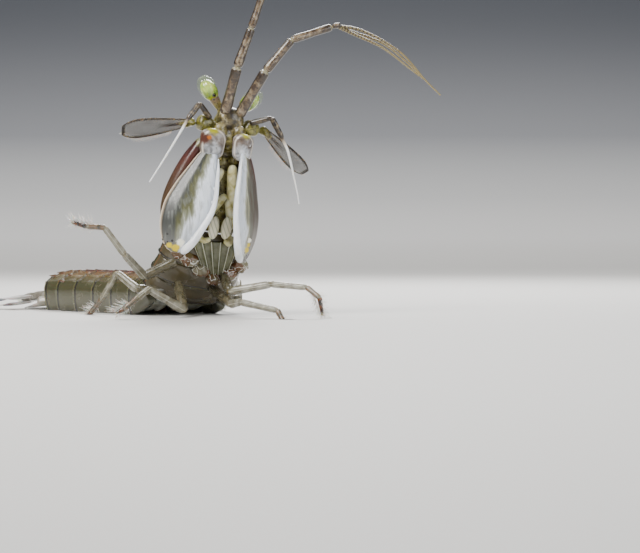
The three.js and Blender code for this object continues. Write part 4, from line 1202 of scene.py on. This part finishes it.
# Raptorial claws: axis is the blade's middle line, inward the side that faces the other claw
claws = {
    "left": {"wrist": (2.9, -0.6, 5.6), "top": (2.6, -3.6, 7.3),
             "axis": [(2.8, -3.4, 7.3), (3.7, -8.6, 8.2), (4.4, -13.1, 8.8), (4.95, -16.8, 9.2),
                      (5.5, -21.6, 9.4), (5.5, -26.2, 9.3)],
             "inward": (-0.72, 0, 0.7), "breadth": 0.97, "outward": -1.2,
             "merus": [(3.9, -1.6, 4.3), (6.4, -7.5, 3.2), (8.2, -14.5, 2.9), (8.7, -20.6, 2.7)],
             "dome": (2.5, -1.6, 6.2), "domeSize": (2.25, 1.6),
             "gold": [((6.3, -23.4, 10), 0.6), ((6.5, -22.3, 10), 0.45)], "pale": [((6.5, -21.3, 10), 0.5)],
             "specks": (6.8, -24.4, 10),
             "tones": [(0.0, (0.085, 0.06, 0.045)), (0.42, (0.1, 0.078, 0.06)), (0.58, (0.15, 0.15, 0.12)),
                       (0.68, (0.36, 0.35, 0.23)), (0.8, (0.7, 0.74, 0.78)), (1, (0.6, 0.65, 0.72))]},
    "right": {"wrist": (-4.2, -1, 5.6), "top": (-4.3, -4, 7.3),
              "axis": [(-3.9, -4.2, 7.3), (-5.35, -10.3, 8), (-6.6, -15.2, 8.7), (-7.9, -19.4, 9.3),
                       (-8.5, -22.9, 9.8), (-7.9, -26.4, 10)],
              "inward": (0.96, 0, 0.26), "breadth": 1.0, "outward": -0.9,
              "merus": [(-4.7, -1.8, 4.3), (-6.9, -7.5, 3.2), (-8.8, -14.5, 2.9), (-9.3, -20.6, 2.7)],
              "dome": (-4, -2.1, 6.2), "domeSize": (2.75, 1.7),
              "gold": [((-9, -25.4, 10), 0.75), ((-10.3, -25.1, 10), 0.55)],
              "pale": [((-8.2, -24.2, 10), 0.75)],
              "specks": (-11, -24.2, 10),
              "tones": [(0.0, (0.03, 0.032, 0.028)), (0.3, (0.045, 0.048, 0.04)),
                        (0.45, (0.09, 0.09, 0.035)), (0.56, (0.24, 0.25, 0.18)),
                        (0.68, (0.75, 0.79, 0.84)), (1, (0.4, 0.44, 0.5))]},
}
clawSizes = {
    "blade": [(0, 1.5), (0.1, 2.35), (0.28, 3.6), (0.38, 4.25), (0.49, 4.7), (0.58, 4.85), (0.68, 4.6),
              (0.78, 4.05), (0.87, 3.2), (0.95, 2.1), (1, 1.1)],
    "finger": [(0, 0.12), (0.12, 0.34), (0.4, 0.54), (0.7, 0.72), (0.94, 0.85), (1, 0.55)],
    "merus": [(0, 1.2), (0.08, 1.6), (0.3, 2.2), (0.6, 2.5), (0.85, 2.3), (1, 1.4)],
    "wrist": [(0, 0.9), (0.3, 1.7), (0.75, 1.6), (1, 1)],
    "teeth": 5, "tooth": [(0, 0.42), (0.5, 0.3), (1, 0.07)],
}


def bladeFinish(name):
    data = claws[name]
    look = translucent("clawPearl" + name, 0.2, rough=0.36, coat=0.15)
    across, along = look.value("across"), look.value("along")
    streak, cloud = look.grain(0.8, 4, stretch=0.16, distort=0.4), look.grain(3.2, 3, stretch=0.4)
    moved = across + (streak - 0.5) * 0.9 + (cloud - 0.52) * 0.8
    look.colour = look.ramp((moved + 1) * 0.5, data["tones"])
    look.layer(look.band(along, 0.72, 0.95), (0.3, 0.3, 0.3), 0.3)
    look.layer(look.band(look.grain(0.5, 5, stretch=0.09, distort=0.7), 0.5, 0.72), (0.17, 0.18, 0.16), 0.6)
    look.layer(look.band(across, -0.9, -0.95), (0.78, 0.66, 0.5), 0.9)
    look.layer(look.band(across, -0.86, -0.93) * look.band(across, -0.99, -0.96), (0.13, 0.09, 0.06), 0.7)
    specks = look.disc(chest(*data["specks"]), 1.5) * look.band(look.cells(0.7), 0.42, 0.3)
    look.layer(specks, (0.015, 0.012, 0.012))
    for kind, colour in (("pale", (0.92, 0.9, 0.75)), ("gold", (0.66, 0.5, 0.0))):
        for place, radius in data[kind]:
            look.layer(look.disc(chest(*place), radius), colour)
    look.bump(streak, 0.2, 0.1)
    return look.paint()


def fingerFinish():
    look = translucent("fingerWhite", 0.25, rough=0.2)
    look.colour = look.ramp(look.grain(1.2, 3, stretch=0.3), [(0.3, (0.68, 0.7, 0.72)),
                                                              (0.6, (0.88, 0.9, 0.92))])
    return look.paint()


def merusFinish():
    look = translucent("merusBrown", 0.2)
    along, across = look.value("along"), look.value("across")
    patch, fine = look.grain(1.6, 4, stretch=0.35), look.grain(0.4, 3)
    look.colour = look.ramp(along + (patch - 0.5) * 0.35, [
        (0.0, (0.28, 0.28, 0.17)), (0.08, (0.2, 0.2, 0.1)), (0.12, (0.045, 0.009, 0.007)),
        (0.24, (0.095, 0.024, 0.017)), (0.42, (0.085, 0.038, 0.022)), (0.75, (0.075, 0.045, 0.02)),
        (1, (0.05, 0.036, 0.016))])
    look.layer(look.band(across, -0.55, -0.95), (0.13, 0.12, 0.1), 0.75)
    look.layer(look.band(fine, 0.6, 0.7), (0.05, 0.02, 0.012), 0.6)
    look.bump(patch + fine, 0.3, 0.1)
    return look.paint()


def wristFinish(name):
    # a clear dome with a pale rim: round above its middle, along the arch's edges below it
    data = claws[name]
    look = translucent("wristGlass" + name, 0.3, rough=0.28, coat=0.15)
    left, up = data["dome"][:2]
    middle, wide = chest(*data["dome"]), data["domeSize"][0]
    patch = look.grain(1.3, 3, distort=0.6)
    look.colour = look.tones(patch, (0.075, 0.05, 0.035), (0.17, 0.135, 0.11), (0.33, 0.31, 0.29))
    look.layer(look.disc(chest(left, up - 2.4, 7), 2.0, 0.4),
               look.ramp(patch, [(0.35, (0.16, 0.17, 0.18)), (0.6, (0.6, 0.63, 0.66))]), 0.75)
    upper = look.band(look.axis("Z"), (middle.z - 0.3) * mm, (middle.z + 0.3) * mm)
    reach = upper * look.away(middle, outWay) + (1.0 - upper) * (abs(look.value("across")) * wide)
    ring = look.band(reach, wide * 0.76, wide * 0.84) * look.band(reach, wide * 0.96, wide * 0.88)
    look.layer(ring, (0.6, 0.55, 0.48), 0.85)
    look.layer(look.disc(chest(left * 1.15, up + 2.5, 6.5), 1.15, 0.35), (0.32, 0.3, 0.005))
    if name == "right":
        look.layer(look.disc(chest(-6.1, -1.9, 6), 1.05, 0.4), (0.08, 0.025, 0.015))
        look.layer(look.disc(chest(-5.2, -1.5, 6), 0.42, 0.55), (0.45, 0.13, 0.012))
    look.bump(patch, 0.2, 0.1)
    return look.paint()


def bladeSwell(t, angle):
    return 0.1 * peak(abs(math.cos(angle)), 1, 0.004) + 0.04 * math.cos(angle * 11) * math.sin(angle) ** 2


def merusSwell(t, angle):
    return 0.22 * peak(math.sin(angle), 0.8, 0.12) * math.sin(math.pi * t)


def domeSwell(t, angle):
    return 0.08 * peak(abs(math.cos(angle)), 0.83, 0.04)


def makeBlade(name, axis, inward, face, half):
    form = Form()
    path = tube(form, [axis.at(i / 8) - inward * 0.45 for i in range(9)], half, count=96, steps=110,
                flat=0.33, thin=face, swell=bladeSwell)
    if path.way(0.5).cross(face).dot(inward) < 0:
        form.across = [-a for a in form.across]
    makePiece("clawBlade" + name, form, bladeFinish(name), "pearly_claw", "claw_blade_" + name)


def makeFinger(name, axis, inward, face, half, look):
    form = Form()
    route = [axis.at(t) + inward * (tableAt(half, t) - 0.25) + face * 0.45
             for t in [0.06 + 0.1 * i for i in range(9)]]
    route.append(axis.at(1) + inward * 0.4 + face * 0.3)
    curve = tube(form, route, clawSizes["finger"], count=32, steps=70)
    down = (axis.at(1) - axis.at(0)).normalized()
    bite = (-inward - down * 0.3 - face * 0.18).normalized()
    for i in range(clawSizes["teeth"]):
        root = curve.at(0.3 + 0.13 * i)
        tube(form, [root, root + bite * 1.1, root + bite * (2.1 + 0.22 * i)], clawSizes["tooth"],
             count=12, steps=12)
    makePiece("clawFinger" + name, form, look, "pearly_claw", "claw_finger_" + name)


def makeMerus(name, data, look):
    form = Form()
    tube(form, [chest(left + data["outward"], up, out) for left, up, out in data["merus"]],
         clawSizes["merus"], count=40, steps=60, flat=0.8, thin=chestWay(1, 0, 0.25), swell=merusSwell)
    makePiece("clawMerus" + name, form, look, "brown_limb", "claw_merus_" + name)


def makeWrist(name, data):
    form = Form()
    high, low = chest(*data["wrist"]), chest(*data["top"])
    tube(form, [high.lerp(low, share) for share in (-0.2, 0.3, 0.8)], clawSizes["wrist"], count=32, steps=24)
    wide, deep = data["domeSize"]
    dome = Vector(data["dome"])
    arch = [dome + Vector((0, wide, 0)), dome, (dome + Vector(data["axis"][0])) * 0.5 - Vector((0, 2.8, 0))]
    tube(form, chestLine(arch), [(0, wide), (0.4, wide), (0.75, wide * 0.92), (1, wide * 0.7)], count=56,
         flat=deep / wide, thin=outWay, swell=domeSwell)
    makePiece("clawWrist" + name, form, wristFinish(name), "brown_limb", "claw_wrist_" + name)


ivory, brown = fingerFinish(), merusFinish()
for name, data in claws.items():
    axis = Path(chestLine(data["axis"]))
    inward = square(chestWay(*data["inward"]), (axis.at(1) - axis.at(0)).normalized())
    face = inward.cross(axis.at(1) - axis.at(0)).normalized()
    face = -face if face.dot(outWay) < 0 else face
    half = [(t, r * data["breadth"]) for t, r in clawSizes["blade"]]
    makeBlade(name, axis, inward, face, half)
    makeFinger(name, axis, inward, face, half, ivory)
    makeMerus(name, data, brown)
    makeWrist(name, data)
print("claws made")


# Mouth limbs: joints, radius and the place of the folded hand, where it shows
mouthLimbs = {
    "right": {1: ([(-2.9, -11, 2.6), (-3.5, -8, 4.4), (-2.5, -3.8, 5)], 0.5, None),
              3: ([(-3.4, -15, 2.8), (-2.6, -12.5, 4.4), (-0.6, -7.4, 4.9)], 0.95, None),
              4: ([(-3.2, -19.5, 2.8), (-2.2, -18, 4.7), (1.0, -12.6, 5.4)], 0.85, None),
              5: ([(-2.6, -20.4, 2.8), (-3, -22.2, 4.1), (-2, -23, 5.3), (-0.7, -22.4, 5.9)], 0.6,
                  (-0.5, -20, 5.9))},
    "left": {1: ([(2.9, -11, 2.6), (3.7, -8, 4.4), (2.9, -3.8, 5)], 0.5, None),
             3: ([(3.6, -16.5, 2.8), (3.0, -14.5, 4.6), (1.3, -6.2, 5.2)], 1.15, None),
             4: ([(3.2, -19.8, 2.8), (3.4, -18.4, 4.6), (1.7, -13.6, 5.2)], 0.9, None),
             5: ([(2.8, -20.4, 2.8), (4, -21.9, 4.1), (3.5, -22.8, 5.2), (2.3, -22.2, 5.9)], 0.6,
                 (2.2, -19.6, 5.9))},
}
handSizes = {"size": (1.15, 0.85, 2.45), "coil": 0.0008, "groove": 0.06}  # one coil to 0.8 mm of width


def creamFinish(name, *tones):
    look = translucent(name, 0.35, rough=0.28)
    patch, white = look.grain(1.5, 4, distort=0.5), look.value("mark")
    look.colour = look.tones(patch, *tones)
    look.layer(white, (0.9, 0.86, 0.7), 0.8)
    slant = look.axis("X") + look.axis("Z") * 0.3
    coil = look.band(look.maths("SINE", slant * (2 * math.pi / handSizes["coil"])), 0.25, 0.95)
    look.layer(coil * white, (0.36, 0.37, 0.2), 0.6)
    look.bump(patch, 0.25, 0.1)
    return look.paint()


def makeMouthLimbs():
    cream = creamFinish("creamLimb", (0.42, 0.38, 0.12), (0.68, 0.63, 0.33), (0.8, 0.77, 0.55))
    combs = []
    for name, side in sides.items():
        for number, (places, radius, hand) in mouthLimbs[name].items():
            form = Form()
            tube(form, chestLine(places),
                 [(0, radius * 0.9), (0.3, radius * 1.1), (0.8, radius), (1, radius * 0.8)],
                 count=24, steps=50, style="round" if hand else "bent")
            if hand:
                blob(form, chest(*hand), handSizes["size"], count=36, mark=1.0,
                     shape=lambda unit: 1 - handSizes["groove"] * peak(unit.x * side, 0.3, 0.12))
            makePiece(f"mouthLimb{number}{name}", form, cream, "cream_limb", f"maxilliped_{number}_{name}")
        elbow, hand = chestLine(mouthLimbs[name][3][0][1:])
        combs.append([(elbow.lerp(hand, 0.25 + 0.09 * i), chestWay(-side, 0.25, 0.3), 1.0)
                      for i in range(8)])
    bristles("mouthCombs", "mouthCombs", combs, darkBristle, "cream_limb")


# The pleated membrane under the mouth, and the crinkled lobes at the legs' roots
pleats = {"columns": 120, "rows": 24, "ribs": 5, "thickness": 0.35}
lobes = [((-3.7, -27.6, 3.2), (2.2, 1.4, 1.5)), ((-6.2, -26.2, 2.6), (1.7, 1.3, 1.6)),
         ((-0.9, -29.4, 3.0), (1.9, 1.4, 1.4)), ((2.4, -30.8, 2.8), (1.8, 1.2, 1.3)),
         ((5.3, -29.3, 2.8), (1.9, 1.4, 1.5)), ((7.4, -26.9, 2.6), (1.8, 1.4, 1.7))]


def veilFinish():
    look = translucent("pleatVeil", 0.3, rough=0.2)
    look.colour = look.ramp(look.grain(1.5, 3), [(0.3, (0.07, 0.07, 0.025)), (0.7, (0.16, 0.165, 0.09))])
    look.layer(look.band(look.value("mark"), 0.86, 0.97), (0.5, 0.5, 0.4))
    return look.paint()


def lobeFinish():
    look = translucent("lobeShell", 0.3, rough=0.2)
    patch = look.grain(2.0, 1, distort=0.8)
    look.colour = look.ramp(look.grain(3, 2), [(0.4, (0.1, 0.075, 0.03)), (0.52, (0.11, 0.038, 0.01)),
                                               (0.6, (0.17, 0.15, 0.09))])
    look.layer(look.band(abs(patch - 0.5), 0.028, 0.006), (0.8, 0.8, 0.75), 0.8)
    look.bump(patch, 0.6, 0.4)
    return look.paint()


def pleatPoint(v, u, depth):
    crest = abs(math.cos(math.pi * u * pleats["ribs"])) ** 6
    top = Vector((mixed(-4.4, 5.8, u), mixed(-23.6, -22.2, u), 4.9 + crest * 0.5))
    low = Vector((mixed(0.2, 4.6, u), mixed(-30.4, -30.0, u), 3.1 + crest * 0.4))
    return chest(*(top.lerp(low, v) - Vector((0, 0, depth)))), v, u, 0 if depth else crest


def makeMembranes():
    form = Form()
    form.shell(*(sheet(pleats["rows"], pleats["columns"], lambda v, u: pleatPoint(v, u, depth))
                 for depth in (0, pleats["thickness"])))
    makePiece("chestPleats", form, veilFinish(), "flesh")
    form = Form()
    for i, (place, size) in enumerate(lobes):
        blob(form, chest(*place), size, count=32,
             shape=lambda unit: 1 + 0.22 * noise.noise(unit * 2.6 + Vector((i * 3, 0, 0))))
    makePiece("coxalLobes", form, lobeFinish(), "flesh")


makeMouthLimbs()
makeMembranes()
print("mouth limbs, pleats and lobes made")


# Walking legs: the root is (station, left, back) on the body, and the other joints are in chest measures
hindLeg = [(34.6, 6.5, -2.8), (35.4, 12.4, -2.4), (38.5, 15.2, 3), (44, 16.4, -1), (48, 17, -4),
           (49.4, 17.2, -4.8)]
frontLegs = {
    "right": [((27.6, -6.5, -2.6), [(-12.4, -32.6, 1.4), (-18.6, -28.6, 6.7), (-23.8, -23.8, 7.1),
                                    (-27.4, -24.2, 7), (-30.4, -23.9, 6)]),
              ((31.7, -4.5, -3), [(-4.4, -38, 8.1), (-13.1, -34.8, 10.5), (-15.8, -36.8, 13.4),
                                  (-18.1, -39.6, 13), (-19.4, -40.4, 13)])],
    "left": [((27.6, 4, -2.8), [(4.6, -32.6, 8.6), (12, -29.5, 13), (18.2, -28.8, 18), (20.5, -30.4, 20.6),
                                (21.3, -33.8, 22)]),
             ((31.7, 3.4, -3), [(4.6, -35, 11.6), (5.6, -34.2, 14.3), (12, -34.4, 20.6), (13.4, -36.8, 22.6),
                                (14, -38.6, 23.6)])],
}
legSizes = {"radii": [1.15, 0.95, 0.72, 0.6, 0.52, 0.3], "marks": (-1.0, 0.0, 0.0, 0.6, 1.0),
            "brushLines": 8, "brushSteps": 6}


def legFinish():
    look = translucent("legGlass", 0.35, rough=0.25, alpha=0.8)
    along, across, last = (look.value(label) for label in ("along", "across", "mark"))
    patch = look.grain(1.4, 4, distort=0.5)
    look.colour = look.tones(patch, (0.12, 0.105, 0.06), (0.21, 0.195, 0.135), (0.36, 0.345, 0.28))
    look.layer(look.band(abs(across), 0.12, 0.02) * look.band(last, 0.9, 0.5), (0.75, 0.73, 0.62), 0.5)
    look.layer(look.band(last, -0.6, -0.9),
               look.ramp(patch, [(0.35, (0.05, 0.045, 0.02)), (0.65, (0.12, 0.1, 0.055))]), 0.9)
    tip = (last | 0.0) * look.band(along, 0.05, 0.15) * look.band(along, 0.95, 0.8)
    look.layer(tip, look.ramp(look.grain(0.7, 2), [(0.42, (0.012, 0.008, 0.006)),
                                                   (0.62, (0.17, 0.06, 0.012))]))
    look.layer(look.band(along, 0.95, 0.99) | look.band(along, 0.04, 0.01), (0.5, 0.33, 0.08), 0.55)
    look.bump(patch, 0.25, 0.1)
    return look.paint()


def legJoints(name, side):
    legs = [[bodyPoint(*root)] + chestLine(places) for root, places in frontLegs[name]]
    return legs + [[bodyPoint(s, side * left, back) for s, left, back in hindLeg]]


def brushLines(start, end):
    # bristle lines round the leg's end, but for those on its lower side
    way = (end - start).normalized()
    over = square(Vector((0, 0.2, 1)) - way * way.z, way)
    lines, steps = [], legSizes["brushSteps"]
    for turn in range(legSizes["brushLines"]):
        angle = 2 * math.pi * turn / legSizes["brushLines"]
        out = over * math.cos(angle) + way.cross(over) * math.sin(angle)
        if out.y >= -0.45:
            size = 0.45 + 0.5 * (0.6 + 0.4 * math.cos(angle))
            lines.append([(start.lerp(end, i / steps) + out * 0.3,
                           out * 0.7 + way * (0.35 + 0.5 * i / steps), size)
                          for i in range(steps + 1)])
    return lines


def makeLegs():
    glass = legFinish()
    radii = legSizes["radii"]
    brushes, hairs = [], []
    for name, side in sides.items():
        for number, joints in enumerate(legJoints(name, side), 1):
            form = Form()
            for a, b, r0, r1, mark in zip(joints, joints[1:], radii, radii[1:], legSizes["marks"]):
                rod(form, a, b, [(0, r0 * 0.7), (0.1, r0), (0.5, mixed(r0, r1, 0.5) * 1.02),
                                 (0.9, r1 * 1.08), (1, r1 * 0.7)],
                    r0 * 0.5, r1 * 0.4, steps=26, mark=mark)
            makePiece(f"leg{number}{name}", form, glass, "cream_limb", f"leg_{number}_{name}")
            brushes += brushLines(joints[-3].lerp(joints[-2], 0.55), joints[-1])
            hairs.append([(joints[2].lerp(joints[3], 0.2 + 0.1 * i), (0.1, -0.4, 0.8), 0.35)
                          for i in range(8)])
    bristles("legBrushes", "legBrushes", brushes, paleBristle, "cream_limb")
    bristles("legHairs", "legHairs", hairs, paleBristle, "cream_limb")


makeLegs()
print("legs made")


# Pleopods under abdominal somites 1 to 5: each lobe has its place, reach along the somite and half width
leafShares = [(0, 0.35), (0.15, 0.72), (0.45, 1), (0.75, 0.92), (0.93, 0.55), (1, 0.2)]
pleopodLobes = [(5.8, 0.98, 1.7), (3.4, 0.9, 1.3)]
fringeSteps = 23


def leafTable(half):
    return [(share, width * half) for share, width in leafShares]


def fringe(a, b, half, thin, size, start):
    # guide lines round a leaf from a to b
    way = (b - a).normalized()
    wide = way.cross(square(thin, way))
    lines = []
    for side in (-1, 1):
        line = []
        for i in range(fringeSteps + 1):
            t = start + (1 - start) * i / fringeSteps
            r = tableAt(leafTable(half), t) * 0.96
            swing = smooth(0.7, 1, t)
            line.append((a.lerp(b, t) + wide * side * r,
                         wide * side * (1 - 0.6 * swing) + way * (0.4 + swing), size))
        lines.append(line)
    return lines


def makePleopods():
    cream = creamFinish("pleopodWhite", (0.36, 0.34, 0.24), (0.6, 0.58, 0.47), (0.8, 0.79, 0.7))
    form, guides = Form(), []
    for i in range(5):
        s, length = somite("abdomen", i)[1:]
        for side in (-1, 1):
            root = bodyPoint(s + 1, side * 4.2, -1.9)
            for across, reach, half in pleopodLobes:
                tip = bodyPoint(s + length * reach, side * across, -3.85)
                rod(form, root, tip, leafTable(half), count=28, steps=26, flat=0.22, thin=(0, 0.05, 1))
                guides += fringe(root, tip, half, Vector((0, 0.05, 1)), 0.6, 0.4)
    makePiece("pleopods", form, cream, "cream_limb")
    guides = [[(Vector((p.x, p.y, max(lowest["fringe"], p.z))), (aim.x, aim.y, max(0, aim.z)), size)
               for p, aim, size in line] for line in guides]
    bristles("pleopodFringes", "pleopodFringes", guides, paleBristle, "cream_limb")


makePleopods()
print("pleopods made")


# Tail fan: the solids' own outlines, rounded
fanTurn, fanOrigin = turnAt(telsonStart + 1), fanPoint(0, 0, 0)
fanSizes = {
    "voxel": 0.13, "passes": 5, "spots": (-1.6, 1.6), "length": 17,
    "fringes": [((12.1, 10.3, -0.5), (13.6, 16.8, -0.6), 2, 1.0, 0.2),
                ((9.1, 4.4, -1.75), (9.9, 14, -1.7), 1.6, 0.8, 0.3)],
}


def rounded(name, node):
    source = bpy.data.objects[node]
    mesh = source.data.copy()
    mesh.transform(source.matrix_world)
    build = bmesh.new()
    build.from_mesh(mesh)
    bmesh.ops.remove_doubles(build, verts=build.verts, dist=1e-6)
    build.to_mesh(mesh)
    build.free()
    piece = skinned(placed(name, mesh), fanSizes["voxel"], fanSizes["passes"])
    places = [fanTurn.inverted() @ (v.co / mm - fanOrigin) for v in piece.data.vertices]
    for label, values in (("across", [p.x for p in places]), ("along", [-p.z for p in places])):
        piece.data.attributes.new(label, "FLOAT", "POINT").data.foreach_set("value", values)
    return piece


def telsonFinish():
    look = Finish("telsonShell", rough=0.35, coat=0.45, coatRough=0.15)
    side, along = abs(look.value("across")), look.value("along")
    look.colour = look.tones(look.grain(1.8, 4, distort=0.5), (0.09, 0.075, 0.06), (0.19, 0.17, 0.13),
                             (0.3, 0.29, 0.25))
    look.layer(look.band(side, 0.7, 0.3) * look.band(along, 1.5, 3), (0.5, 0.2, 0.05), 0.8)
    rear = along + side * 0.35
    look.layer(look.band(rear, 11.6, 13.4), (0.05, 0.045, 0.04), 0.85)
    look.layer(look.band(rear, 13.4, 14.6), (0.75, 0.78, 0.66))
    for left in fanSizes["spots"]:
        look.layer(look.disc(fanPoint(left, 2.2, 0.5), 0.85, 0.2, Vector((0, 0, 1))), (0.75, 0.55, 0.03))
    look.bump(look.grain(0.35, 3) + look.cells(0.7), 0.5, 0.15)
    return look.paint()


def uropodFinish():
    look = Finish("uropodShell", rough=0.32, coat=0.45, coatRough=0.15, depth=0.15, scatter=0.001)
    across, along = abs(look.value("across")), look.value("along")
    share = along + (look.grain(1.5, 3, distort=0.5) - 0.5) * 4
    look.colour = look.ramp(share * (1 / fanSizes["length"]), [
        (0.0, (0.25, 0.22, 0.16)), (0.3, (0.4, 0.38, 0.36)), (0.5, (0.72, 0.73, 0.72)),
        (0.62, (0.02, 0.02, 0.03)), (0.7, (0.3, 0.28, 0.46)), (0.85, (0.2, 0.2, 0.42)),
        (1, (0.42, 0.4, 0.5))])
    look.layer(look.band(across, 12.6, 12.2) * look.band(along, 11, 12), (0.02, 0.018, 0.025), 0.9)
    look.bump(look.grain(0.4, 3), 0.4, 0.1)
    return look.paint()


settle(rounded("telsonPlate", "telson"), telsonFinish(), ["telson"])
violet = uropodFinish()
guides = []
thin = fanPoint(0, 0, 1) - fanPoint(0, 0, 0)
for name, side in sides.items():
    for part in ("base", "exopod", "paddle", "endopod"):
        node = f"uropod_{part}_{name}"
        settle(rounded(f"uropod{part.capitalize()}{name}", node), violet, [node])
    for (a, behind, up), (b, end, low), half, size, start in fanSizes["fringes"]:
        guides += fringe(fanPoint(side * a, behind, up), fanPoint(side * b, end, low), half, thin, size,
                         start)
bristles("tailFringes", "tailFringes", guides, pinkBristle, "tail_fan")
print("tail fan made")
